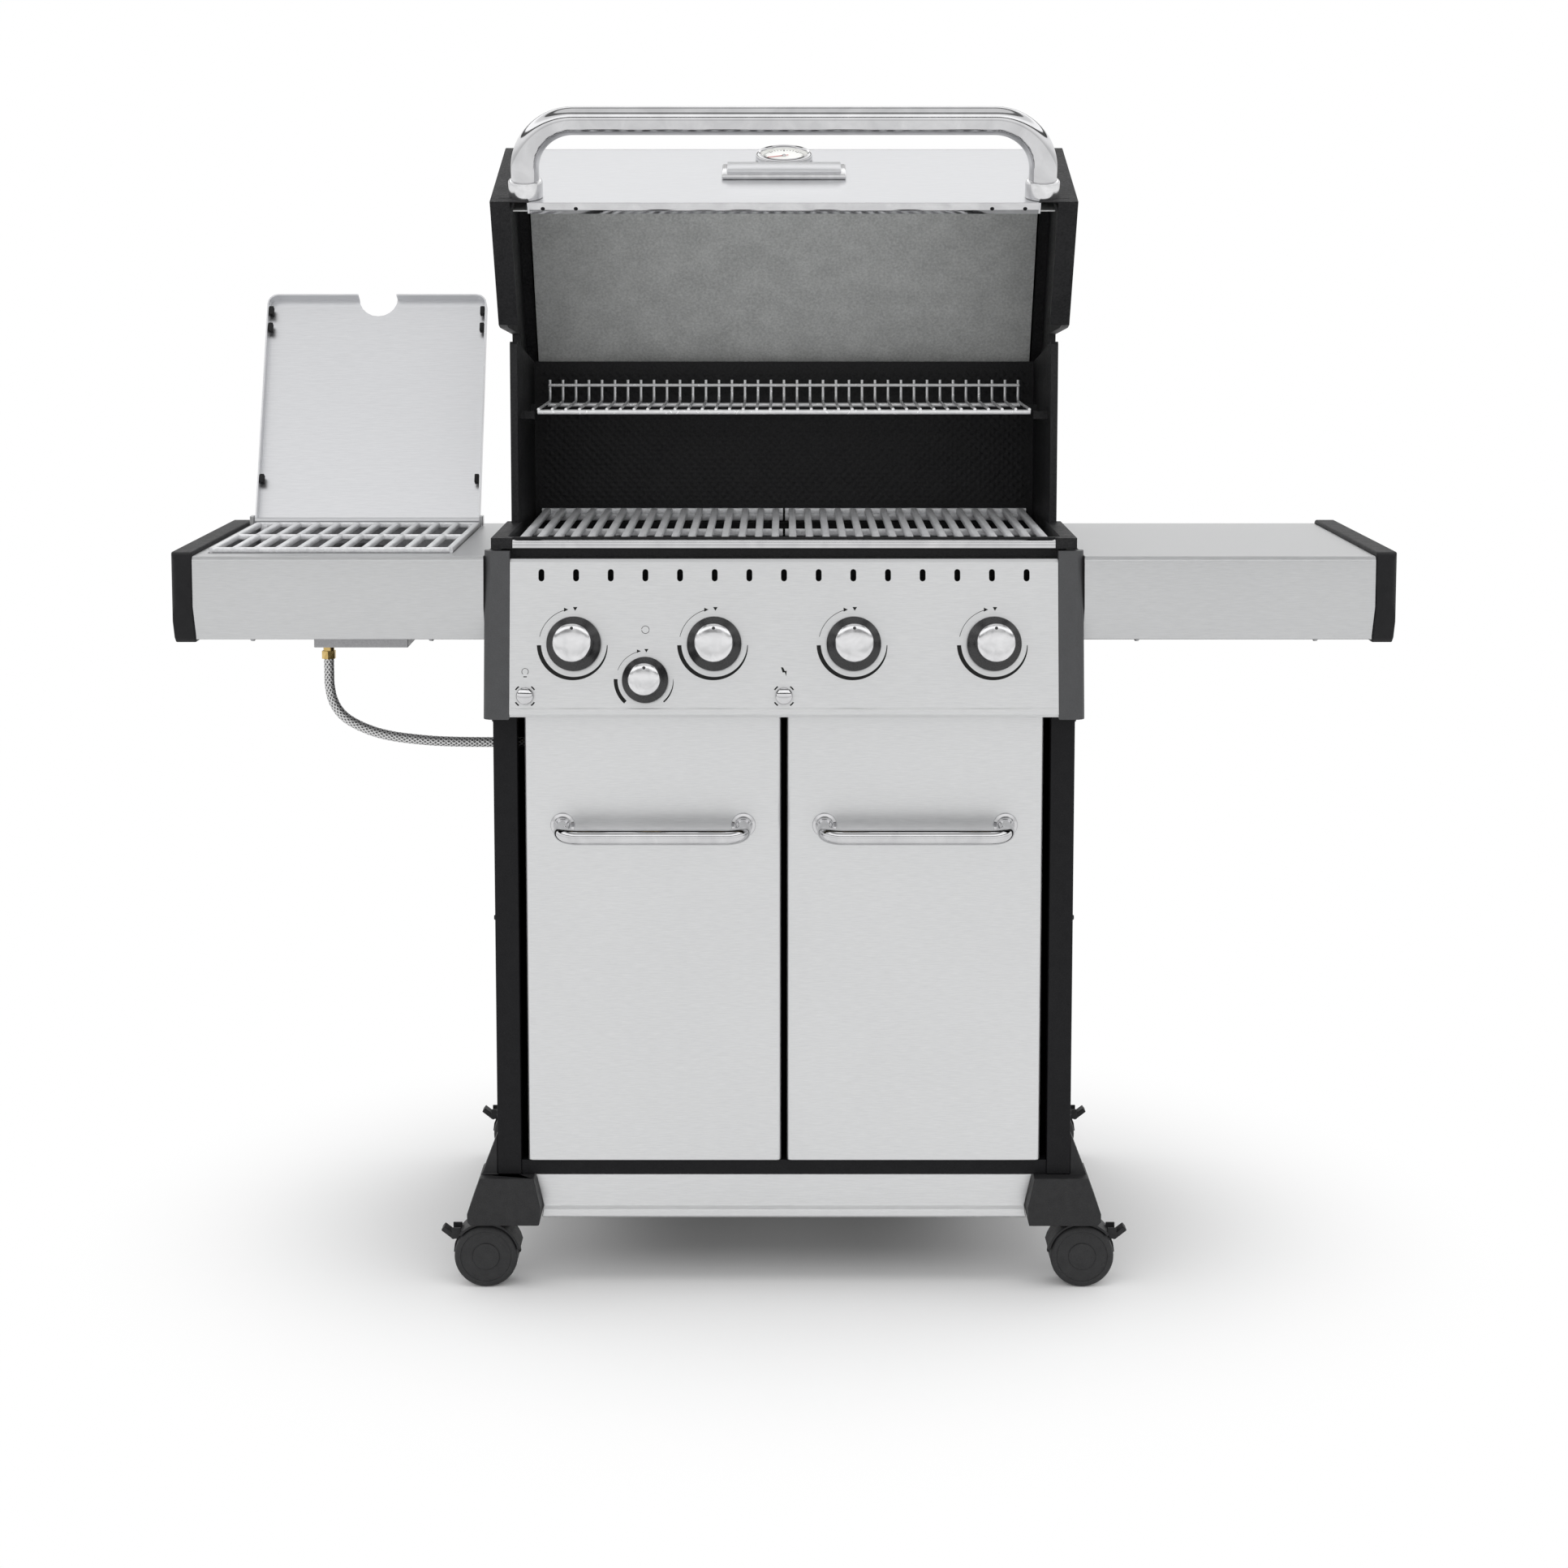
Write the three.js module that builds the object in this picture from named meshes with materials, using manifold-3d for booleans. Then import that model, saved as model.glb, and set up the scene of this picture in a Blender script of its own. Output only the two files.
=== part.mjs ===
// A gas barbecue grill on a cabinet cart: cook box with a double-walled lid, two side shelves, one of
// them with a side burner, a control panel, two doors and four swivel casters.
//
// Millimetres, Z up, X to the right. Depths are measured back from the front face of the side shelves,
// and the end of the file moves the whole grill so that its origin is on the floor under its middle.
// The lid and the side burner's lid are built closed and then swung open about their hinges.
import * as THREE from "three";
import { mergeVertices } from "three/addons/utils/BufferGeometryUtils.js";
import Module from "manifold-3d";

// ---- driving dimensions ----
const GAP = 0.3; // between pieces that touch
const SHEET = 2; // folded sheet metal
const MIDDLE_DEPTH = 273.2; // from the shelf fronts back to the origin

const CART = { half: 352, front: 35, back: 580, post: 29, postDepth: 25, top: 786, foot: 140 };
const FLOOR = { z: 143, rail: 158 };
const DOOR = { edge: 314, centre: 3.5, front: 30, depth: 20, bottom: 160, top: 712, corner: 6 };
const DOOR_HANDLE = { z: 578, drop: 6, half: 109.5, reach: 48, radius: 9.5, flange: 15 };
const KICK = { half: 305, bottom: 85, top: 140, lip: 101, front: 37 };

const WHEEL = { radius: 39, half: 23, gap: 4.6, axle: 6, trail: 23 };
const PEDAL = { reach: 46, turn: 153, length: 17, lift: 38 };
const STEM = { x: 344, front: 48, radius: 6, top: 112 };
const FOOT = { outer: 388, inner: 300, bottom: 83.5, finTop: 192, front: 8, back: 92 };

const PANEL = { half: 326.7, height: 190.7, bottomDepth: -27, bottom: 718, tilt: 9.66 };
const VENTS = { count: 15, pitch: 41.3, width: 7, low: 162.6, high: 177.3 };
const KNOB_XS = [-250, -83, 83, 250];
const KNOB = { up: 88, skirt: 32.5, cap: 22, height: 45 };
const SIDE_KNOB = { x: -165, up: 45, skirt: 27.5, cap: 18.5, height: 40 };
const BUTTON = { up: 26, radius: 10.5, travel: 3 };
const BUTTON_XS = { light: -308, igniter: 0 };
const PANEL_CAP = { inner: 327.2, outer: 358, top: 914, bottom: 716, round: 12 };

const MANIFOLD = { y: 15, z: 812, radius: 7, left: -293 };
const BURNER = { z: 850, radius: 15, front: 50, back: 462 };
const TRAY = { half: 150, bottom: 766, top: 785.5, front: 90, back: 430, wall: 3 };

const BOX = { half: 338, ledge: 350, front: 24, back: 487, floor: 792, rim: 929, ledgeFloor: 916 };
const CHEEK = { inner: 334, outer: 343, front: 214, frontTop: 1156, backTop: 1120 };
const BOX_WALL = 7;
const TRIM = { half: 324, front: 10, back: 20, bottom: 917, top: 927 };
const GRATE = { top: 925, thick: 8, pitch: 20.4, bars: 16, bar: 9, front: 34, back: 473 };
const RACK = { half: 312, z: 1071, front: 250, back: 445, top: 1098, wires: 37, wire: 3 };

const HINGE = { y: 436, z: 1046, open: 56 }; // lid hinge line, and how far the lid stands open
const LID = { rimY: 19, rimZ: 930.3, lean: 16.5, panel: 230, round: 39, fall: 3.8, back: 488 };
const LID_HALF = 311; // half width of the lid's steel skin
const LINER = { half: 330, inset: 14.7 };
const LID_CAP = { outer: 356, inner: 345.5, band: 12, flange: 332 };
const LID_HANDLE = { up: 25, reach: 95, half: 314, bend: 60, radius: 17.5 };
const GAUGE = { up: 188, radius: 36, thick: 14 };

const SHELF = { inner: 358, outer: 705.7, top: 908, bottom: 806, depth: 433, slope: 20 };
const SHELF_CAP = { outer: 731, top: 913, bottom: 802 };
const WELL = { left: -694, right: -399, front: 40, back: 392, floor: 870 };
const SIDE_GRATE = { top: 914, thick: 7, pitch: 26, bars: 11, bar: 8 };
const SIDE_LID = { y: 400, z: 915, open: 115, left: -698, right: -402, length: 325, rise: 15 };
const HOSE = { radius: 6.5, sides: 8, steps: 44 };
const HOSE_ROUTE = [
  [-581, 250, 751.5],
  [-581, 250, 735],
  [-580.5, 250, 716],
  [-576, 250, 696],
  [-565, 250, 679],
  [-548, 250, 667],
  [-526, 250, 657.5],
  [-503, 250, 651.5],
  [-477, 250, 647.8],
  [-446, 250, 645],
  [-412, 250, 643.8],
  [-380, 250, 643.5],
  [-350, 250, 643.5],
  [-330, 250, 643.5],
  [-309.5, 250, 643.5],
];

// ---- solids ----
const wasm = await Module();
wasm.setup();

// A closed three.js geometry as a manifold-3d solid with its faces pointing out.
function solid(geometry) {
  const bare = geometry.clone();
  bare.deleteAttribute("normal");
  bare.deleteAttribute("uv");
  const merged = mergeVertices(bare, 1e-3);
  const index = merged.index.array;
  const faces = [];
  for (let i = 0; i < index.length; i += 3) {
    const [a, b, c] = [index[i], index[i + 1], index[i + 2]];
    if (a !== b && b !== c && c !== a) faces.push(a, b, c);
  }
  const build = (triangles) =>
    new wasm.Manifold(
      new wasm.Mesh({
        numProp: 3,
        vertProperties: merged.attributes.position.array,
        triVerts: new Uint32Array(triangles),
      }),
    );
  const made = build(faces);
  return made.volume() < 0 ? build(faces.reverse()) : made;
}

function geometryOf(made) {
  const mesh = made.getMesh();
  const geometry = new THREE.BufferGeometry();
  geometry.setAttribute("position", new THREE.BufferAttribute(mesh.vertProperties, 3));
  geometry.setIndex(new THREE.BufferAttribute(mesh.triVerts, 1));
  const flat = geometry.toNonIndexed();
  flat.computeVertexNormals();
  return flat;
}

const join = (...solids) => solids.reduce((whole, next) => whole.add(next));
const cut = (body, ...tools) => tools.reduce((rest, tool) => rest.subtract(tool), body);
const common = (a, b) => a.intersect(b);

function box(x0, x1, y0, y1, z0, z1) {
  const block = new THREE.BoxGeometry(x1 - x0, y1 - y0, z1 - z0);
  return solid(block.translate((x0 + x1) / 2, (y0 + y1) / 2, (z0 + z1) / 2));
}

// The outline that a prism pushes along X is (Y, Z), along Y it is (X, Z), along Z it is (X, Y).
const X = new THREE.Vector3(1, 0, 0);
const Y = new THREE.Vector3(0, 1, 0);
const Z = new THREE.Vector3(0, 0, 1);
const PUSH = {
  x: new THREE.Matrix4().makeBasis(Y, Z, X),
  y: new THREE.Matrix4().makeBasis(X, Z, Y.clone().negate()),
  z: new THREE.Matrix4().makeBasis(X, Y, Z),
};

function shapeOf(outline) {
  return new THREE.Shape(outline.map(([a, b]) => new THREE.Vector2(a, b)));
}

function prism(axis, outline, from, to) {
  const settings = { depth: to - from, bevelEnabled: false };
  const pushed = new THREE.ExtrudeGeometry(shapeOf(outline), settings);
  pushed.translate(0, 0, axis === "y" ? -to : from);
  return solid(pushed.applyMatrix4(PUSH[axis]));
}

const slot = (a0, a1, b0, b1) => [
  [a0, b0],
  [a1, b0],
  [a1, b1],
  [a0, b1],
];

function arc(a, b, radius, fromDegrees, toDegrees, steps) {
  return Array.from({ length: steps + 1 }, (_, i) => {
    const turn = THREE.MathUtils.degToRad(fromDegrees + ((toDegrees - fromDegrees) * i) / steps);
    return [a + radius * Math.cos(turn), b + radius * Math.sin(turn)];
  });
}

// A rectangle whose four corners have their own radii, from the lower left one round to the left.
function rounded(a0, a1, b0, b1, [r0, r1, r2, r3], steps = 4) {
  return [
    ...arc(a0 + r0, b0 + r0, r0, 180, 270, steps),
    ...arc(a1 - r1, b0 + r1, r1, 270, 360, steps),
    ...arc(a1 - r2, b1 - r2, r2, 0, 90, steps),
    ...arc(a0 + r3, b1 - r3, r3, 90, 180, steps),
  ];
}

// The outline of a bent sheet of one thickness, laid on the left side of a line of points.
function strip(line, thickness) {
  const side = (p, q) => {
    const length = Math.hypot(q[0] - p[0], q[1] - p[1]);
    return [(p[1] - q[1]) / length, (q[0] - p[0]) / length];
  };
  const moved = line.map((point, i) => {
    const before = side(line[Math.max(i - 1, 0)], line[Math.max(i, 1)]);
    const last = line.length - 1;
    const after = side(line[Math.min(i, last - 1)], line[Math.min(i + 1, last)]);
    const stretch = thickness / (1 + before[0] * after[0] + before[1] * after[1]);
    return [point[0] + (before[0] + after[0]) * stretch, point[1] + (before[1] + after[1]) * stretch];
  });
  return [...line, ...moved.reverse()];
}

function rod(axis, [x, y, z], radius, length, sides = 12) {
  const bar = new THREE.CylinderGeometry(radius, radius, length, sides);
  if (axis === "x") bar.rotateZ(-Math.PI / 2);
  if (axis === "z") bar.rotateX(Math.PI / 2);
  return solid(bar.translate(x, y, z));
}

// A turned piece whose axis is Y: [radius, height] points that start and end on the axis.
function turned(profile, sides) {
  const points = profile.map(([radius, height]) => new THREE.Vector2(radius, height));
  return solid(new THREE.LatheGeometry(points, sides));
}

function tube(points, radius, sides, steps) {
  const route = new THREE.CatmullRomCurve3(points.map((p) => new THREE.Vector3(...p)), false, "centripetal");
  const section = shapeOf(arc(0, 0, radius, 0, 360, sides).slice(1));
  return solid(new THREE.ExtrudeGeometry(section, { steps, extrudePath: route }));
}

const mirrored = (body) => body.mirror([1, 0, 0]);

// ---- finishes ----
const FINISHES = {
  brushed: { color: 0xc8c9ca, roughness: 0.38, metalness: 1 },
  polished: { color: 0xe2e3e4, roughness: 0.08, metalness: 1 },
  wire: { color: 0xd6d7d8, roughness: 0.25, metalness: 1 },
  castGrate: { color: 0xa9abac, roughness: 0.5, metalness: 1 },
  casting: { color: 0x1c1c1d, roughness: 0.6, metalness: 0.4 },
  enamel: { color: 0x161617, roughness: 0.4, metalness: 0.3 },
  resin: { color: 0x242425, roughness: 0.55, metalness: 0 },
  greyCap: { color: 0x4a4b4d, roughness: 0.5, metalness: 0.2 },
  tyre: { color: 0x2b2b2c, roughness: 0.6, metalness: 0 },
  brass: { color: 0xb08a3e, roughness: 0.3, metalness: 1 },
  braid: { color: 0xbfc0c1, roughness: 0.35, metalness: 0.9 },
};

const grill = new THREE.Group();

function add(name, body, finish, group = grill) {
  const mesh = new THREE.Mesh(geometryOf(body), new THREE.MeshStandardMaterial(FINISHES[finish]));
  mesh.name = name;
  group.add(mesh);
}

// A group that is turned about a line along X; what goes in it keeps the grill's own coordinates.
function swungGroup({ y, z, open }) {
  const arm = new THREE.Group();
  arm.position.set(0, y, z);
  arm.rotation.x = THREE.MathUtils.degToRad(-open);
  const leaf = new THREE.Group();
  leaf.position.set(0, -y, -z);
  arm.add(leaf);
  grill.add(arm);
  return leaf;
}

// ---- cart ----
// One folded side: a sheet with a boxed post at the front and another at the back.
function sidePanel() {
  const { half, front, back, post, postDepth, top, foot } = CART;
  const inner = half - 3;
  const outline = [
    [half - post, front],
    [half, front],
    [half, back],
    [half - post, back],
    [half - post, back - postDepth],
    [inner, back - postDepth],
    [inner, front + postDepth],
    [half - post, front + postDepth],
  ];
  return prism("z", outline, foot + GAP, top);
}

// The left side also has the hose's hole and, under it, the block that clips the hose's chain.
function leftSidePanel() {
  const [, y, z] = HOSE_ROUTE[HOSE_ROUTE.length - 1];
  const hole = rod("x", [-CART.half, y, z], HOSE.radius + 1.5, 40, 16);
  const clip = box(-CART.half - 10, -CART.half + 1, y - 12, y + 12, z - 24, z - 9);
  return join(cut(mirrored(sidePanel()), hole), clip);
}

function cabinetFloor() {
  const { half, front, back, post, postDepth } = CART;
  const narrow = half - post - GAP;
  const wide = half - 3 - GAP;
  const outline = [
    [-narrow, front + 3],
    [narrow, front + 3],
    [narrow, front + postDepth + GAP],
    [wide, front + postDepth + GAP],
    [wide, back - postDepth - GAP],
    [-wide, back - postDepth - GAP],
    [-wide, front + postDepth + GAP],
    [-narrow, front + postDepth + GAP],
  ];
  const sheet = prism("z", outline, FLOOR.z - SHEET, FLOOR.z);
  const rail = box(-narrow, narrow, front + 3, front + 18, CART.foot + GAP, FLOOR.rail);
  return join(sheet, rail);
}

// The back panel turns forward at its top, under the grease tray, to the bottom of the cook box.
function backPanel() {
  const half = CART.half - CART.post - GAP;
  const face = CART.back - 10;
  const top = TRAY.bottom - 10;
  const sheet = box(-half, half, face, face + SHEET, FLOOR.z + GAP, top);
  const deck = box(-half, half, BOX.back - 40, face + SHEET, top - SHEET, top);
  return join(sheet, deck);
}

// The kick panel hangs from the rail between the feet; its lower edge is rolled forward.
function kickPanel() {
  const { front, top, lip, bottom, half } = KICK;
  const line = [
    [front, top],
    [front, lip],
    [front - 4, lip - 5],
    [front - 4, bottom + 3],
    [front, bottom],
  ];
  const ends = [
    [-half, top],
    [half, top],
    [half - 9, lip],
    [half - 7, bottom],
    [7 - half, bottom],
    [9 - half, lip],
  ];
  return common(prism("x", strip(line, 3), -half, half), prism("y", ends, 0, 60));
}

// A moulded foot: a flared block with a fin up the outside of the post, bored for the caster's stem.
function foot() {
  const { outer, inner, bottom, finTop, front, back } = FOOT;
  const top = CART.foot;
  const block = [
    [inner, bottom],
    [outer - 4, bottom],
    [outer, bottom + 5],
    [outer, 98],
    [outer - 15, top],
    [inner + 7, top],
    [inner - 2, 106],
  ];
  const side = [
    [front, bottom],
    [back, bottom],
    [back, 120],
    [back - 8, top],
    [front + 10, top],
    [front, 112],
  ];
  const flare = common(prism("y", block, front, back), prism("x", side, inner - 5, outer + 5));
  const fin = [
    [outer, 98],
    [CART.half + GAP, finTop],
    [CART.half + GAP, 98],
  ];
  const gusset = prism("y", fin, CART.front + 2, CART.front + 40);
  const bore = rod("z", [STEM.x, STEM.front, bottom], STEM.radius + 1.5, 2 * (STEM.top + 1 - bottom), 12);
  return cut(join(flare, gusset), bore);
}

// Turned round in plan about the middle of the cart's depth, a front foot becomes a rear one.
function rearOf(body) {
  return body.mirror([0, 1, 0]).translate([0, CART.front + CART.back, 0]);
}

// ---- casters ----
// Each caster is built about its stem, with the wheels trailing towards -X.
function casterFork() {
  const { radius, half, gap, axle, trail } = WHEEL;
  const z = radius;
  const ring = [...arc(-trail, z, 43, 12, 140, 12), ...arc(-trail, z, 40.2, 140, 12, 12)];
  const hood = prism("y", ring, -half, half);
  const halfDisc = [...arc(-trail, z, 41.5, 0, 180, 12), [-trail - 12, z - 9], [-trail + 12, z - 9]];
  const web = prism("y", halfDisc, 1 - gap, gap - 1);
  const stem = rod("z", [0, 0, (STEM.top + 72) / 2], STEM.radius, STEM.top - 72);
  const lugAt = arc(-trail, z, 46, 148, 148, 1)[0];
  const lugs = [-1, 1].map((s) =>
    box(lugAt[0] - 4, lugAt[0] + 7, 11 * s - 1.5, 11 * s + 1.5, lugAt[1] - 5, 72),
  );
  const reach = common(join(...lugs), prism("y", slot(-90, 0, 50, 76), -half, half));
  const clear = rod("y", [-trail, 0, z], 40.4, 60, 24);
  const bore = rod("y", [-trail, 0, z], axle + 0.8, 40, 16);
  return cut(join(hood, web, cut(reach, clear), stem), bore);
}

function casterWheels() {
  const { radius, half, gap, axle, trail } = WHEEL;
  const tread = [
    [gap, radius - 2],
    [gap + 2, radius],
    [half - 5, radius],
    [half - 1, radius - 4],
    [half, radius - 9],
  ];
  const profile = [
    [0, -half],
    ...tread.map(([h, r]) => [r, -h]).reverse(),
    [axle, -gap],
    [axle, gap],
    ...tread.map(([h, r]) => [r, h]),
    [0, half],
  ];
  return turned(profile, 20).translate([-trail, 0, radius]);
}

// The brake pedal pivots at the end of the hood.
function casterPedal() {
  const [x, z] = arc(-WHEEL.trail, WHEEL.radius, PEDAL.reach, PEDAL.turn, PEDAL.turn, 1)[0];
  const barrel = rod("y", [x, 0, z], 3.6, 18, 10);
  const pad = new THREE.BoxGeometry(PEDAL.length, 18, 6.5);
  pad.translate(-PEDAL.length / 2, 0, 0);
  pad.rotateY(THREE.MathUtils.degToRad(PEDAL.lift));
  return join(barrel, solid(pad.translate(x, 0, z)));
}

function addCaster(name, x, y) {
  const caster = new THREE.Group();
  caster.position.set(x, y, 0);
  caster.rotation.z = x > 0 ? Math.PI : 0;
  grill.add(caster);
  add(`caster_fork_${name}`, casterFork(), "resin", caster);
  add(`caster_wheels_${name}`, casterWheels(), "tyre", caster);
  add(`caster_pedal_${name}`, casterPedal(), "resin", caster);
}

// ---- doors ----
// A door is a pan of folded steel with rounded front corners, open at the back.
function leftDoor() {
  const { edge, centre, front, depth, bottom, top, corner } = DOOR;
  const round = [corner, corner, 0.5, 0.5];
  const skin = prism("z", rounded(-edge, -centre, front, front + depth, round, 3), bottom, top);
  const pocket = box(3 - edge, -centre - 3, front + 2.5, front + depth + 5, bottom + 3, top - 3);
  return cut(skin, pocket);
}

// A door's pull: a bent tube on two round flanges.
function leftDoorHandle() {
  const middle = -(DOOR.edge + DOOR.centre) / 2;
  const { z, drop, half, reach, radius, flange } = DOOR_HANDLE;
  const face = DOOR.front - GAP;
  const end = [
    [half, 0, 0],
    [half, 14, 0],
    [half - 1, 27, 1],
    [half - 6, 38, 3],
    [half - 15, 45, 5],
    [half - 28, reach, drop],
  ];
  const side = (s) => end.map(([x, out, down]) => [middle + s * x, face - out, z - down]);
  const bar = tube([...side(-1), ...side(1).reverse()], radius, 8, 26);
  const foot = (s) => rod("y", [middle + s * half, face - 2.5, z], flange, 5, 16);
  const trim = box(-400, 0, face, face + 30, z - 40, z + 40);
  return cut(join(bar, foot(-1), foot(1)), trim);
}

// ---- control panel ----
// Built in its own plane: local Z runs up the panel from its bottom edge, and -Y is out of its face.
const panelGroup = new THREE.Group();
panelGroup.position.set(0, PANEL.bottomDepth, PANEL.bottom);
panelGroup.rotation.x = THREE.MathUtils.degToRad(-PANEL.tilt);
grill.add(panelGroup);

const panelHole = (x, up, radius) => rod("y", [x, 0, up], radius, 20, 12);

function controlPanel() {
  const { half, height } = PANEL;
  const line = [
    [14, 1],
    [3, 1],
    [0, 4],
    [0, height - 5],
    [3, height - 1],
    [15, height + 1],
  ];
  const face = prism("x", strip(line, -SHEET), -half, half);
  const first = (-(VENTS.count - 1) / 2) * VENTS.pitch;
  const vents = Array.from({ length: VENTS.count }, (_, i) => {
    const x = first + i * VENTS.pitch;
    const round = VENTS.width / 2;
    const ends = Array(4).fill(round - 0.1);
    return prism("y", rounded(x - round, x + round, VENTS.low, VENTS.high, ends, 3), -5, 8);
  });
  const knobHoles = KNOB_XS.map((x) => panelHole(x, KNOB.up, 7));
  const sideHole = panelHole(SIDE_KNOB.x, SIDE_KNOB.up, 7);
  const buttonHoles = Object.values(BUTTON_XS).map((x) => panelHole(x, BUTTON.up, 7));
  return cut(face, ...vents, ...knobHoles, sideHole, ...buttonHoles);
}

// End cap: the side profile of the panel, with its outer front edge rounded.
function panelCap() {
  const { inner, outer, top, bottom, round } = PANEL_CAP;
  const front = PANEL.bottomDepth - 2;
  const profile = [
    [front, bottom],
    [CART.front - GAP, bottom],
    [CART.front - GAP, CART.top],
    [BOX.front - GAP, CART.top + 4],
    [BOX.front - GAP, top],
    [front + 34, top],
  ];
  const plan = rounded(inner, outer, -2, 80, [0.5, round, 0.5, 0.5]);
  const swept = geometryOf(prism("z", plan, -20, 230));
  swept.rotateX(panelGroup.rotation.x).translate(0, PANEL.bottomDepth, PANEL.bottom);
  return common(prism("x", profile, inner, outer), solid(swept));
}

function knob({ x, up, skirt, cap, height }) {
  const profile = [
    [0, 17],
    [5, 17],
    [5, -1],
    [skirt, -1],
    [skirt, -8],
    [skirt - 3, -12],
    [cap + 1.5, -17],
    [cap, -height + 4],
    [cap - 3, -height + 1],
    [0, -height],
  ];
  return turned(profile, 20).translate([x, 0, up]);
}

function button(x) {
  const { up, radius, travel } = BUTTON;
  const out = travel + 4;
  const profile = [
    [0, 14],
    [5, 14],
    [5, -travel - 1],
    [radius, -travel - 1],
    [radius, -out],
    [radius - 2, -out - 2],
    [0, -out - 3],
  ];
  return turned(profile, 16).translate([x, 0, up]);
}

// ---- gas train ----
// The manifold runs behind the panel with a valve block for each knob. A branch goes back and down
// to the side burner's hose.
function gasManifold() {
  const { y, z, radius, left } = MANIFOLD;
  const pipe = rod("x", [0, y, z], radius, 600, 10);
  const block = (x, low, high) => box(x - 11, x + 11, y - 8, y + 8, low, high);
  const valves = KNOB_XS.map((x) => block(x, z - 22, z + 12));
  const [endX, endY, endZ] = HOSE_ROUTE[HOSE_ROUTE.length - 1];
  const right = endX + GAP;
  const branch = [
    box(right, left, y - 6, y + 6, z - 52, z + 2),
    box(right, left, y - 6, endY + 8, z - 52, z - 38),
    box(right, left, endY - 8, endY + 8, endZ - 8, z - 38),
  ];
  return join(pipe, ...valves, block(SIDE_KNOB.x, z - 62, z + 12), ...branch);
}

function burnerSet() {
  const { z, radius, front, back } = BURNER;
  const length = back - front;
  const tubes = KNOB_XS.map((x) => rod("y", [x, (front + back) / 2, z], radius, length, 10));
  const carryOver = box(KNOB_XS[0], KNOB_XS[3], back - 30, back - 18, z - 6, z + 6);
  return join(...tubes, carryOver);
}

// One folded sheet with a ridge over each burner keeps the drips off the flames.
function heatTents() {
  const half = 322;
  const low = 872;
  const high = 897;
  const line = [[-half, low]];
  for (const x of KNOB_XS) line.push([x, high], [x + KNOB_XS[3] - KNOB_XS[2] - 83.5, low]);
  line[line.length - 1] = [half, low];
  return prism("y", strip(line, SHEET), GRATE.front + 16, GRATE.back - 22);
}

// ---- cook box ----
// A cast tub with a ledge round its rim. Behind the ledge its cheeks rise beside the lid's liner to
// the back wall.
function cookBox() {
  const { half, ledge, front, back, floor, rim, ledgeFloor } = BOX;
  const tub = box(-half, half, front, back, floor, rim);
  const seat = box(1 - CART.half, CART.half - 1, 70, back - 10, CART.top + GAP, floor + 4);
  const flange = box(-ledge, ledge, TRIM.back + GAP, CHEEK.front + 20, ledgeFloor, rim);
  const cheekProfile = [
    [CHEEK.front, ledgeFloor],
    [back, ledgeFloor],
    [back, CHEEK.backTop],
    [CHEEK.front + 3, CHEEK.frontTop],
    [CHEEK.front, CHEEK.frontTop - 3],
  ];
  const raised = prism("x", cheekProfile, -CHEEK.outer, CHEEK.outer);
  const corners = box(-ledge, ledge, TRIM.front + 2, TRIM.back + 1, ledgeFloor, rim);
  const trimRoom = box(-TRIM.half - GAP, TRIM.half + GAP, 0, TRIM.back + GAP, 900, 940);
  const oven = box(
    -CHEEK.inner,
    CHEEK.inner,
    CHEEK.front - 10,
    back - BOX_WALL,
    ledgeFloor - 10,
    CHEEK.frontTop + 10,
  );
  const pit = box(
    BOX_WALL - half,
    half - BOX_WALL,
    front + BOX_WALL,
    back - BOX_WALL,
    floor + BOX_WALL,
    rim + 5,
  );
  const drain = box(-60, 60, 220, 300, floor - 5, floor + 20);
  const rackLugs = [-1, 1].flatMap((s) =>
    [RACK.front + 10, RACK.back - 20].map((y) => {
      const inner = s * (RACK.half + 4);
      const outer = s * (CHEEK.inner + 2);
      return box(Math.min(inner, outer), Math.max(inner, outer), y - 6, y + 6, RACK.z - 14, RACK.z - 4);
    }),
  );
  const rails = [-1, 1].map((s) => {
    const hanger = [
      [s * (TRAY.half + 1), floor + 2],
      [s * (TRAY.half + 4), floor + 2],
      [s * (TRAY.half + 4), TRAY.bottom - 4],
      [s * (TRAY.half - 8), TRAY.bottom - 4],
      [s * (TRAY.half - 8), TRAY.bottom - 1],
      [s * (TRAY.half + 1), TRAY.bottom - 1],
    ];
    return prism("y", hanger, TRAY.front, TRAY.back);
  });
  const grateSeat = [
    box(-half + 2, half - 2, front + 2, GRATE.front + 14, 898, GRATE.top - GRATE.thick - 9 - GAP),
    box(-half + 2, half - 2, GRATE.back - 20, back - 2, 898, GRATE.top - GRATE.thick - 9 - GAP),
  ];
  const shell = cut(join(cut(join(tub, seat, raised), oven), flange, corners), pit, trimRoom, drain);
  const burnerPorts = KNOB_XS.map((x) => rod("y", [x, front, BURNER.z], 9, 40, 10));
  return cut(join(shell, ...rackLugs, ...rails, ...grateSeat), ...burnerPorts);
}

// The grease tray is a flat pan let into a rim of four walls.
function greaseTray() {
  const { half, bottom, front, back, wall } = TRAY;
  const edge = wall + GAP;
  return box(-half + edge, half - edge, front + edge, back - edge, bottom, bottom + wall);
}

function greaseTrayRim() {
  const { half, bottom, top, front, back, wall } = TRAY;
  const walls = box(-half, half, front, back, bottom, top);
  return cut(walls, box(-half + wall, half - wall, front + wall, back - wall, bottom - 1, top + 1));
}

function frontTrim() {
  const { half, front, back, bottom, top } = TRIM;
  return prism("x", rounded(front, back, bottom, top, [1, 0.5, 2, 4], 2), -half, half);
}

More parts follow.
